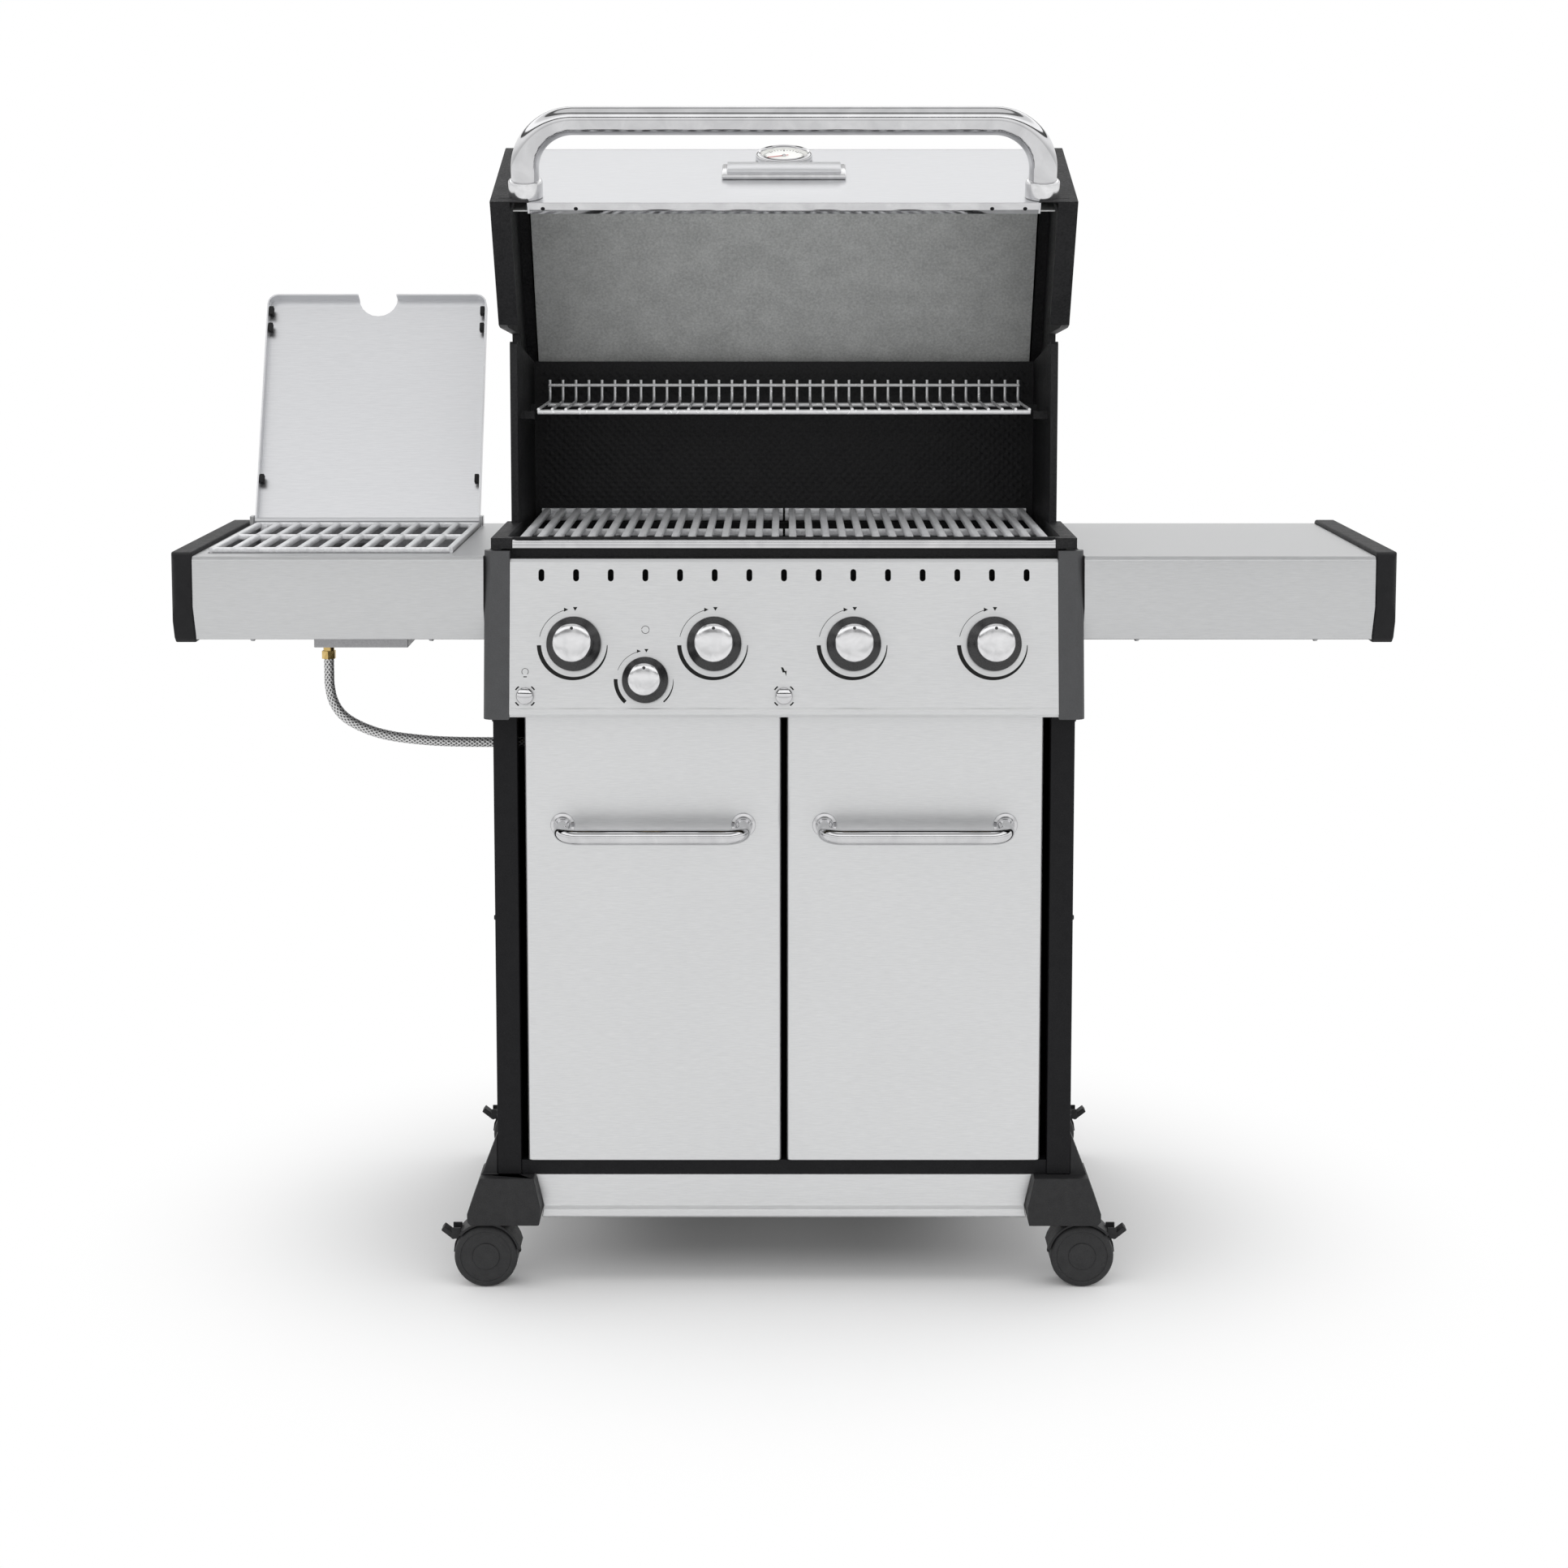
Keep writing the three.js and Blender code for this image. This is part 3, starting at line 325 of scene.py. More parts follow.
# ---- Kick panel ----
# A folded strip of stainless steel across the front of the cart's foot, with a rolled lower edge.
# Its satin finish runs along its length.
def build_satin_grain():
    """Long fine scratches along one direction over faint clouds. Scale is scratches a metre each way."""
    group, given, out = effect("satin grain", SURFACE_INPUTS, SURFACE_OUTPUTS)
    link = group.links.new
    scratches = node(group, "ShaderNodeTexNoise", {"Scale": 1.0, "Detail": 4.0, "Roughness": 0.7})
    link(scaled_place(group, given), scratches.inputs["Vector"])
    clouds = node(group, "ShaderNodeTexNoise", {"Scale": 3.0, "Detail": 3.0})
    link(given.outputs["Vector"], clouds.inputs["Vector"])
    share = node(group, "ShaderNodeMix", {0: 0.25}, data_type="FLOAT")
    link(scratches.outputs[0], share.inputs[2])
    link(clouds.outputs[0], share.inputs[3])
    blended_outputs(group, given, out, share.outputs[0], 0.3, 0.7)
    return group


satin_grain = build_satin_grain()
satin_steel = surfaced("satin_steel", satin_grain, (60, 900, 900), (0.61, 0.615, 0.62),
                       (0.72, 0.725, 0.73), 0.3, 0.4, 1.0, 0.00002)
softened("kick_panel", "kick_strip", "cart", satin_steel, 0.0009)

# ---- Feet ----
# Four moulded resin corners, each sleeved over the foot of a post and holding a caster's stem.
# They flare outwards, and have the fine matt grain of a moulding.
black_resin = surfaced("black_resin", fine_pebble, (1100, 1100, 1100), (0.013, 0.013, 0.014),
                       (0.028, 0.028, 0.029), 0.42, 0.62, 0.0, 0.0001, 0.25)
CORNERS = ("front_left", "front_right", "rear_left", "rear_right")
for corner in CORNERS:
    softened("foot_" + corner, "resin_foot_" + corner, "cart", black_resin, 0.0022, 3)

# ---- Casters ----
# Twin-wheel casters: a moulded hood that swivels on its steel stem, two hard wheels on one axle,
# and a lever that presses on the wheels to lock them.
WHEEL_RADIUS = 0.039
WHEEL_GAP = 0.0023  # half of the space between the two wheels
WHEEL_FACE = 0.023  # from the middle to a wheel's outer face
HUB_RADIUS = 0.017
SPACER_RADIUS = 0.006


def turned(name, profile, place, sides, finishes):
    """A closed shape turned about its own third axis. Each ring is radius, height and finish number."""
    shape = bmesh.new()
    rings = []
    for radius, height, _ in profile:
        if radius == 0:
            rings.append([shape.verts.new(place @ Vector((0, 0, height)))])
            continue
        turns = [2 * math.pi * k / sides for k in range(sides)]
        points = [Vector((radius * math.cos(t), radius * math.sin(t), height)) for t in turns]
        rings.append([shape.verts.new(place @ point) for point in points])
    for low, high, (_, _, number) in zip(rings, rings[1:], profile[1:]):
        for k in range(sides):
            n = (k + 1) % sides
            corners = [low[k % len(low)], low[n % len(low)], high[n % len(high)], high[k % len(high)]]
            face = shape.faces.new(list(dict.fromkeys(corners)))
            face.material_index = number
    bmesh.ops.recalc_face_normals(shape, faces=shape.faces)
    return finished_shape(name, shape, 40, *finishes)


def joined(name, pieces):
    """Several pieces as one object."""
    shape = bmesh.new()
    finishes = []
    for piece in pieces:
        for finish in piece.data.materials:
            if finish not in finishes:
                finishes.append(finish)
    for piece in pieces:
        order = [finishes.index(finish) for finish in piece.data.materials]
        before = len(shape.faces)
        shape.from_mesh(piece.data)
        shape.faces.ensure_lookup_table()
        for face in shape.faces[before:]:
            face.material_index = order[min(face.material_index, len(order) - 1)]
        bpy.data.objects.remove(piece)
    return finished_shape(name, shape, 40, *finishes)


wheel_resin = surfaced("wheel_resin", fine_pebble, (900, 900, 900), (0.018, 0.018, 0.019),
                       (0.036, 0.036, 0.037), 0.38, 0.55, 0.0, 0.00008, 0.25)
for corner in CORNERS:
    softened("caster_fork_" + corner, "caster_hood_" + corner, "caster_fork_" + corner,
             black_resin, 0.0009)
    softened("caster_pedal_" + corner, "caster_lever_" + corner, "caster_pedal_" + corner,
             black_resin, 0.0012)
    low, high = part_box("caster_wheels_" + corner)
    middle = (low + high) / 2
    wheels = []
    for side in (-1, 1):
        place = Matrix.Translation(middle) @ Matrix.Rotation(side * math.pi / 2, 4, "X")
        inner, outer, r = WHEEL_GAP, WHEEL_FACE, WHEEL_RADIUS
        profile = [(0, inner, 0), (r - 0.004, inner, 0), (r - 0.0012, inner + 0.001, 0),
                   (r, inner + 0.004, 0), (r, outer - 0.0045, 0), (r - 0.0009, outer - 0.0018, 0),
                   (r - 0.003, outer - 0.0004, 0), (r - 0.006, outer, 0), (r - 0.0075, outer, 0),
                   (r - 0.0082, outer - 0.001, 0), (HUB_RADIUS, outer - 0.0016, 0),
                   (HUB_RADIUS - 0.0008, outer - 0.0004, 0), (0.012, outer - 0.0002, 0), (0, outer, 0)]
        wheels.append(turned(f"wheel_{corner}_{side}", profile, place, 64, [wheel_resin]))
    spacer = [(0, -WHEEL_GAP, 0), (SPACER_RADIUS, -WHEEL_GAP, 0), (SPACER_RADIUS, WHEEL_GAP, 0),
              (0, WHEEL_GAP, 0)]
    place = Matrix.Translation(middle) @ Matrix.Rotation(math.pi / 2, 4, "X")
    wheels.append(turned("spacer_" + corner, spacer, place, 24, [wheel_resin]))
    pair = joined("twin_wheels_" + corner, wheels)
    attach(pair, "caster_wheels_" + corner)
    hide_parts("caster_wheels_" + corner)

# ---- Doors ----
# Two pan-folded stainless doors with rounded corners, hung on pins in the posts.
# Their grain runs across, as on the rest of the outer steel.
for side in ("left", "right"):
    softened("door_" + side, "door_pan_" + side, "door_" + side, satin_steel,
             0.0016, 3)

# ---- Door handles ----
# A polished steel tube bent at both ends and welded to round flanges. Screws from inside the door
# hold it.
HANDLE_Z = 0.578
HANDLE_DROP = 0.006  # how far the grip hangs under its flanges
HANDLE_HALF = 0.1095  # from the handle's middle to a flange's centre
HANDLE_REACH = 0.048
HANDLE_TUBE = 0.0095
HANDLE_BEND = 0.022
FLANGE = 0.015
FLANGE_THICK = 0.0025


def build_handled_shine():
    """Faint smears and hairline marks over a polish. Scale is how many marks a metre."""
    group, given, out = effect("handled shine", SURFACE_INPUTS, SURFACE_OUTPUTS)
    smears = node(group, "ShaderNodeTexNoise", {"Scale": 1.0, "Detail": 5.0, "Distortion": 0.8})
    group.links.new(scaled_place(group, given), smears.inputs["Vector"])
    blended_outputs(group, given, out, smears.outputs[0], 0.35, 0.7)
    return group


def rounded_route(points, radius, step):
    """A route through corner points with each corner turned on an arc of that radius."""
    route = [points[0]]
    for before, corner, after in zip(points, points[1:], points[2:]):
        into, away = (before - corner).normalized(), (after - corner).normalized()
        half = into.angle(away) / 2
        reach = radius / math.tan(half)
        centre = corner + (into + away).normalized() * (radius / math.sin(half))
        start, end = corner + into * reach - centre, corner + away * reach - centre
        turn = start.angle(end)
        pieces = max(4, round(turn * radius / step))
        for i in range(pieces + 1):
            t = i / pieces
            spread = start * math.sin((1 - t) * turn) + end * math.sin(t * turn)
            route.append(centre + spread / math.sin(turn))
    route.append(points[-1])
    return route


handled_shine = build_handled_shine()
polished_steel = surfaced("polished_steel", handled_shine, (30, 30, 30), (0.56, 0.56, 0.57),
                          (0.66, 0.66, 0.67), 0.05, 0.11, 1.0, 0.000003)
door_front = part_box("door_left")[0].y
for side in ("left", "right"):
    low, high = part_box("door_handle_" + side)
    centre_x = (low.x + high.x) / 2
    corners = [
        Vector((centre_x - HANDLE_HALF, door_front, HANDLE_Z)),
        Vector((centre_x - HANDLE_HALF, door_front - HANDLE_REACH, HANDLE_Z - HANDLE_DROP)),
        Vector((centre_x + HANDLE_HALF, door_front - HANDLE_REACH, HANDLE_Z - HANDLE_DROP)),
        Vector((centre_x + HANDLE_HALF, door_front, HANDLE_Z)),
    ]
    route = rounded_route(corners, HANDLE_BEND, 0.002)
    parts = [swept_tube("grip", route, [HANDLE_TUBE] * len(route), 40, polished_steel)]
    for end in (corners[0], corners[-1]):
        place = Matrix.Translation(end) @ Matrix.Rotation(math.pi / 2, 4, "X")
        profile = [(0, 0, 0), (FLANGE, 0, 0), (FLANGE, FLANGE_THICK * 0.5, 0),
                   (FLANGE - 0.0008, FLANGE_THICK, 0), (HANDLE_TUBE + 0.0016, FLANGE_THICK * 1.3, 0),
                   (HANDLE_TUBE, FLANGE_THICK * 2.4, 0), (0, FLANGE_THICK * 2.4, 0)]
        parts.append(turned("flange", profile, place, 48, [polished_steel]))
    handle = joined("door_grip_" + side, parts)
    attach(handle, "door_" + side)
    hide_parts("door_handle_" + side)

# ---- Control panel ----
# A folded stainless fascia that leans back a little, with a row of cooling slots along its top and
# a rolled lower edge. Grey painted end caps cover its sides.
PANEL_LEAN = math.radians(9.66)
PANEL_FOOT = (FRONT - 0.027, 0.718)  # depth and height of the face's lower edge


def on_fascia(x, up, out):
    """A point on the control panel: across, up its sloping face, and out from it."""
    return Vector((
        x,
        PANEL_FOOT[0] + up * math.sin(PANEL_LEAN) - out * math.cos(PANEL_LEAN),
        PANEL_FOOT[1] + up * math.cos(PANEL_LEAN) + out * math.sin(PANEL_LEAN),
    ))


def fascia_place(x, up, out=0.0):
    """The place of a round piece that stands on the control panel."""
    return Matrix.Translation(on_fascia(x, up, out)) @ Matrix.Rotation(math.pi / 2 - PANEL_LEAN, 4, "X")


softened("control_panel", "fascia", "cart", satin_steel, 0.0008)
fold_line = [on_fascia(x, 0.0105, -0.0006) for x in (-0.325, 0.325)]
fold = swept_tube("fascia_fold", fold_line, [0.0011, 0.0011], 16, satin_steel)
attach(fold, "cart")
grey_paint = surfaced("grey_cap_paint", fine_pebble, (800, 800, 800), (0.042, 0.043, 0.045),
                      (0.060, 0.061, 0.064), 0.42, 0.58, 0.1, 0.00008)
for side in ("left", "right"):
    softened("panel_cap_" + side, "fascia_cap_" + side, "cart", grey_paint, 0.0016, 3)

# ---- Dial marks ----
# Black marks printed on the fascia: round each knob a thin arc with an arrow on its upper left and
# a wide tapering arc below, and four ticks and a sign at each push button.
KNOB_UP = 0.088
KNOB_XS = (-0.250, -0.083, 0.083, 0.250)
SIDE_KNOB = (-0.165, 0.045)
BUTTONS = {"light": -0.308, "igniter": 0.0}
BUTTON_UP = 0.026
SIGN_UP = BUTTON_UP + 0.029  # the middle of the lamp and spark signs
SIDE_SIGN_UP = 0.060  # the side burner's ring sign, above its knob
PRINT_LIFT = 0.00002  # how far the print's back stands off the steel
INK = 0.00025  # thickness of the print


def printed(shape, x, up, outline):
    """One flat mark, given as points across and up from its centre."""
    back = [shape.verts.new(on_fascia(x + a, up + b, PRINT_LIFT)) for a, b in outline]
    front = [shape.verts.new(on_fascia(x + a, up + b, INK)) for a, b in outline]
    shape.faces.new(front)
    shape.faces.new(list(reversed(back)))
    for i, corner in enumerate(outline):
        n = (i + 1) % len(outline)
        shape.faces.new((back[i], back[n], front[n], front[i]))


def arc_outline(inner, outer, start, stop, taper=False):
    """The outline of an arc between two angles in degrees, thinned towards its end if it tapers."""
    steps = max(6, abs(round((stop - start) / 5)))
    turns = [math.radians(start + (stop - start) * i / steps) for i in range(steps + 1)]
    thinned = 0.82 if taper else 0
    width = [(outer - inner) * (1 - thinned * (i / steps) ** 2) for i in range(steps + 1)]
    far = [((inner + w) * math.cos(t), (inner + w) * math.sin(t)) for t, w in zip(turns, width)]
    near = [(inner * math.cos(t), inner * math.sin(t)) for t in reversed(turns)]
    return far + near


shape = bmesh.new()
for x in KNOB_XS:
    printed(shape, x, KNOB_UP, arc_outline(0.0415, 0.0421, 100, 168))
    printed(shape, x, KNOB_UP, arc_outline(0.0392, 0.0442, 182, 358, True))
    printed(shape, x, KNOB_UP, [(-0.012, 0.0385), (-0.007, 0.0410), (-0.012, 0.0433)])
    printed(shape, x, KNOB_UP, [(0.0012, 0.0395), (0.004, 0.0440), (-0.0014, 0.0440)])
x, up = SIDE_KNOB
printed(shape, x, up, arc_outline(0.0345, 0.0350, 100, 160))
printed(shape, x, up, arc_outline(0.0330, 0.0375, 178, 228))
printed(shape, x, up, arc_outline(0.0330, 0.0348, 310, 362, True))
printed(shape, x, up, [(-0.010, 0.0325), (-0.0055, 0.0345), (-0.010, 0.0365)])
printed(shape, x, up, [(0.0012, 0.0330), (0.0036, 0.0370), (-0.0012, 0.0370)])
for start, stop in ((0, 172), (188, 352)):
    printed(shape, x, up + SIDE_SIGN_UP, arc_outline(0.0042, 0.0048, start, stop))
for x in BUTTONS.values():
    for turn in (45, 135, 225, 315):
        printed(shape, x, BUTTON_UP, arc_outline(0.0125, 0.0142, turn - 12, turn + 12))
lamp_foot = [(-0.002, -0.0012), (0.002, -0.0012), (0.002, 0), (-0.002, 0)]
printed(shape, BUTTONS["light"], SIGN_UP, arc_outline(0.0036, 0.0042, -50, 230))
printed(shape, BUTTONS["light"], SIGN_UP - 0.0055, lamp_foot)
spark = [(-0.0036, 0.0052), (-0.0012, 0.0052), (0.001, 0.0008), (0.0032, 0.0012), (0.0026, -0.0052),
         (0.0009, -0.0008), (-0.0016, -0.0010)]
printed(shape, BUTTONS["igniter"], SIGN_UP, spark)
marks_mesh = bpy.data.meshes.new("dial_marks")
bmesh.ops.recalc_face_normals(shape, faces=shape.faces)
shape.to_mesh(marks_mesh)
shape.free()
black_print = surfaced("black_print", fine_pebble, (1500, 1500, 1500), (0.006, 0.006, 0.006),
                       (0.014, 0.014, 0.014), 0.5, 0.65, 0.0, 0.00001, 0.2)
marks = linked("dial_marks", marks_mesh, black_print)
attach(marks, "cart")

# ---- Knobs ----
# A moulded black skirt with a dished shoulder, and a spun silver cap pressed into it with a dark
# groove between. A black dot near the cap's edge points to the dial.
satin_silver = surfaced("satin_silver_cap", handled_shine, (60, 60, 60), (0.66, 0.66, 0.67),
                        (0.80, 0.80, 0.81), 0.16, 0.26, 1.0, 0.00001)
knob_gloss = surfaced("knob_black", fine_pebble, (900, 900, 900), (0.012, 0.012, 0.013),
                      (0.024, 0.024, 0.025), 0.22, 0.34, 0.0, 0.00003)


def knob_profile(skirt, cap, height):
    """From the fascia outwards: spindle, skirt, shoulder, dark groove, then the silver cap's dome."""
    return [
        (0, -0.016, 0), (0.005, -0.016, 0), (0.005, 0.0012, 0), (skirt - 0.001, 0.0012, 0),
        (skirt, 0.002, 0), (skirt, 0.0075, 0), (skirt - 0.0006, 0.009, 0), (skirt - 0.002, 0.0105, 0),
        (skirt - 0.0045, 0.0122, 0), (cap + 0.0022, 0.0146, 0), (cap + 0.0004, 0.0162, 0),
        (cap - 0.0004, 0.019, 0), (cap, height - 0.008, 0), (cap + 0.0009, height - 0.0066, 0),
        (cap + 0.0009, height - 0.0048, 0), (cap + 0.0001, height - 0.0040, 0),
        (cap, height - 0.0046, 0), (cap - 0.0002, height - 0.0036, 1),
        (cap - 0.0010, height - 0.0024, 1), (cap - 0.0024, height - 0.0016, 1),
        (cap - 0.006, height - 0.0009, 1), (cap - 0.012, height - 0.0003, 1), (0, height, 1),
    ]


# Each knob's place across and up, the radii of its skirt and cap, and its height.
KNOBS = {f"knob_{i + 1}": (x, KNOB_UP, 0.0325, 0.0228, 0.045) for i, x in enumerate(KNOB_XS)}
KNOBS["knob_side"] = (*SIDE_KNOB, 0.0275, 0.0192, 0.040)
for cad_node, (x, up, skirt, cap, height) in KNOBS.items():
    body = turned("body", knob_profile(skirt, cap, height), fascia_place(x, up), 96,
                  [knob_gloss, satin_silver])
    dot_place = fascia_place(x, up) @ Matrix.Translation((0, cap - 0.0058, height - 0.0016))
    dot = [(0, 0, 0), (0.0019, 0, 0), (0.0019, 0.0009, 0), (0.0013, 0.0013, 0), (0, 0.0014, 0)]
    pointer = turned("pointer", dot, dot_place, 24, [knob_gloss])
    knob = joined("dial_" + cad_node, [body, pointer])
    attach(knob, cad_node)
    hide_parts(cad_node)

# ---- Push buttons ----
# Two domed steel buttons, one for the lamps and one for the igniter. Each slides on a stem in a
# round hole of the fascia, and a spring brings it back.
for name in BUTTONS:
    profile = [(0, -0.013, 0), (0.005, -0.013, 0), (0.005, 0.004, 0), (0.0095, 0.004, 0),
               (0.0102, 0.0047, 0), (0.0102, 0.0062, 0), (0.0098, 0.0072, 0), (0.0085, 0.0082, 0),
               (0.006, 0.0091, 0), (0.003, 0.0096, 0), (0, 0.0098, 0)]
    button = turned(f"steel_{name}_button", profile, fascia_place(BUTTONS[name], BUTTON_UP), 48,
                    [polished_steel])
    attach(button, name + "_button")
    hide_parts(name + "_button")

# ---- Gas train ----
# A brass manifold with a valve block behind each knob, and four stainless burner tubes that run to
# the back of the cook box, with folded steel tents over them.
brass = surfaced("machined_brass", handled_shine, (90, 90, 90), (0.52, 0.36, 0.12),
                 (0.74, 0.55, 0.24), 0.2, 0.36, 1.0, 0.00002)
softened("gas_manifold", "manifold", "cart", brass, 0.0005)
dull_steel = surfaced("dull_steel", fine_pebble, (420, 420, 420), (0.30, 0.30, 0.31),
                      (0.44, 0.44, 0.45), 0.3, 0.5, 1.0, 0.00006)
softened("burner_set", "burners", "cart", dull_steel, 0.0)
softened("heat_tents", "drip_tents", "cart", dull_steel, 0.0006)

# ---- Cook box ----
# A cast aluminium tub painted heat-proof black. Its back wall is cast with a field of low diamonds.
# A stainless bar trims its front edge, and a grease tray slides out from under it.
def pattern_tree(name, sizes):
    """A geometry tree with a geometry input and output and named number inputs."""
    tree = bpy.data.node_groups.new(name, "GeometryNodeTree")
    tree.interface.new_socket(name="Geometry", in_out="OUTPUT", socket_type="NodeSocketGeometry")
    tree.interface.new_socket(name="Geometry", in_out="INPUT", socket_type="NodeSocketGeometry")
    for size, kind in sizes:
        tree.interface.new_socket(name=size, in_out="INPUT", socket_type=kind)
    return tree, tree.nodes.new("NodeGroupInput"), tree.nodes.new("NodeGroupOutput")


FLOAT, WHOLE, ARROW = "NodeSocketFloat", "NodeSocketInt", "NodeSocketVector"
FINISH = "NodeSocketMaterial"


def finished(tree, given, out, geometry):
    """Ends a tree: real geometry, in the piece's own finish."""
    real = node(tree, "GeometryNodeRealizeInstances")
    painted = node(tree, "GeometryNodeSetMaterial")
    tree.links.new(geometry, real.inputs[0])
    tree.links.new(real.outputs[0], painted.inputs["Geometry"])
    tree.links.new(given.outputs["Finish"], painted.inputs["Material"])
    tree.links.new(painted.outputs[0], out.inputs[0])


def grown(name, tree, points, edges, values, facing=None):
    """The plain mesh that a tree makes on some points, which may each carry a facing direction."""
    seed = bpy.data.meshes.new(name + "_seed")
    seed.from_pydata([tuple(p) for p in points], edges, [])
    if facing:
        way = seed.attributes.new("facing", "FLOAT_VECTOR", "POINT")
        way.data.foreach_set("vector", [c for v in facing for c in v])
    holder = linked(name + "_seed", seed)
    maker = holder.modifiers.new("pattern", "NODES")
    maker.node_group = tree
    for item in tree.interface.items_tree:
        if item.item_type == "SOCKET" and item.in_out == "INPUT" and item.name in values:
            maker[item.identifier] = values[item.name]
    mesh = baked(holder)
    mesh.name = name
    shade(mesh, 40)
    return linked(name, mesh)


def build_studs():
    """A low cone or dome on every point, its axis along the point's facing direction."""
    tree, given, out = pattern_tree("studs", [("Radius", FLOAT), ("Top Radius", FLOAT),
                                              ("Height", FLOAT), ("Sides", WHOLE), ("Finish", FINISH)])
    link = tree.links.new
    cone = node(tree, "GeometryNodeMeshCone", fill_type="NGON")
    link(given.outputs["Sides"], cone.inputs["Vertices"])
    link(given.outputs["Radius"], cone.inputs["Radius Bottom"])
    link(given.outputs["Top Radius"], cone.inputs["Radius Top"])
    link(given.outputs["Height"], cone.inputs["Depth"])
    way = node(tree, "GeometryNodeInputNamedAttribute", {"Name": "facing"}, data_type="FLOAT_VECTOR")
    turn = node(tree, "FunctionNodeAlignRotationToVector", axis="Z")
    link(way.outputs[0], turn.inputs["Vector"])
    spread = node(tree, "GeometryNodeInstanceOnPoints")
    link(given.outputs["Geometry"], spread.inputs["Points"])
    link(cone.outputs["Mesh"], spread.inputs["Instance"])
    link(turn.outputs[0], spread.inputs["Rotation"])
    finished(tree, given, out, spread.outputs[0])
    return tree


studs = build_studs()
cast_black = surfaced("painted_casting", fine_pebble, (320, 320, 320), (0.006, 0.006, 0.007),
                      (0.020, 0.020, 0.021), 0.4, 0.62, 0.0, 0.0004, 0.2)
softened("cook_box", "firebox", "cart", cast_black, 0.0016, 3)
DIAMOND = 0.0125  # spacing of the cast diamonds
DIAMOND_ROWS = 28
DIAMOND_FOOT = 0.935  # height of the lowest row
FIELD_HALF = 0.325
FIELD_TOP = 1.108
WALL_Y = 0.4804 + FRONT
diamonds = []
for row in range(DIAMOND_ROWS):
    for column in range(-26, 27):
        x = column * DIAMOND + (row % 2) * DIAMOND / 2
        z = DIAMOND_FOOT + row * DIAMOND / 2
        if abs(x) < FIELD_HALF and z < FIELD_TOP:
            diamonds.append((x, WALL_Y, z))
relief = grown("cast_diamonds", studs, diamonds, [],
               {"Radius": DIAMOND * 0.48, "Top Radius": 0.0008, "Height": 0.0016, "Sides": 4,
                "Finish": cast_black}, [(0, -1, 0)] * len(diamonds))
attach(relief, "cart")
softened("grease_tray", "drip_tray", "grease_tray", dull_steel, 0.0008)
softened("grease_tray_rim", "drip_tray_rim", "grease_tray", dull_steel, 0.0008)
softened("front_trim", "rim_bar", "cart", polished_steel, 0.0)

# ---- Cooking grids ----
# Two cast stainless grids lie side by side: flat bars from front to back, on three cross ribs.
# Heat and cleaning have left them a soft grey.
GRID_TOP = 0.925
GRID_PITCH = 0.0204
GRID_BARS = 16
GRID_BAR = 0.009
GRID_THICK = 0.008
RIB_INSET = 0.006
END_BAR = 0.007
GRID_ENDS = (0.034 + FRONT, 0.473 + FRONT)


def build_bar_row():
    """A row of bars along the given line, with a round-cornered section, bent smoothly at corners."""
    tree, given, out = pattern_tree("bar row", [("Width", FLOAT), ("Height", FLOAT), ("Corner", FLOAT),
                                                ("Bend", FLOAT), ("Count", WHOLE), ("Step", ARROW),
                                                ("Finish", FINISH)])
    link = tree.links.new
    line = node(tree, "GeometryNodeMeshToCurve")
    link(given.outputs["Geometry"], line.inputs["Mesh"])
    bent = node(tree, "GeometryNodeFilletCurve", {"Count": 5}, mode="POLY")
    link(line.outputs[0], bent.inputs["Curve"])
    link(given.outputs["Bend"], bent.inputs["Radius"])
    section = node(tree, "GeometryNodeCurvePrimitiveQuadrilateral")
    link(given.outputs["Width"], section.inputs["Width"])
    link(given.outputs["Height"], section.inputs["Height"])
    eased = node(tree, "GeometryNodeFilletCurve", {"Count": 3}, mode="POLY")
    link(section.outputs[0], eased.inputs["Curve"])
    link(given.outputs["Corner"], eased.inputs["Radius"])
    bar = node(tree, "GeometryNodeCurveToMesh", {"Fill Caps": True})
    link(bent.outputs[0], bar.inputs["Curve"])
    link(eased.outputs[0], bar.inputs["Profile Curve"])
    places = node(tree, "GeometryNodeMeshLine", mode="OFFSET")
    link(given.outputs["Count"], places.inputs["Count"])
    link(given.outputs["Step"], places.inputs["Offset"])
    row = node(tree, "GeometryNodeInstanceOnPoints")
    link(places.outputs[0], row.inputs["Points"])
    link(bar.outputs[0], row.inputs["Instance"])
    finished(tree, given, out, row.outputs[0])
    return tree


bar_row = build_bar_row()
grate_steel = surfaced("seasoned_steel", fine_pebble, (260, 260, 260), (0.66, 0.665, 0.68),
                       (0.86, 0.865, 0.88), 0.34, 0.5, 0.15, 0.0001)


def bars(name, route, width, height, corner, count, step, finish, bend=0.0):
    """A row of equal bars, each along the same route of points."""
    edges = [(i, i + 1) for i in range(len(route) - 1)]
    return grown(name, bar_row, route, edges,
                 {"Width": width, "Height": height, "Corner": corner, "Bend": bend, "Count": count,
                  "Step": step, "Finish": finish})


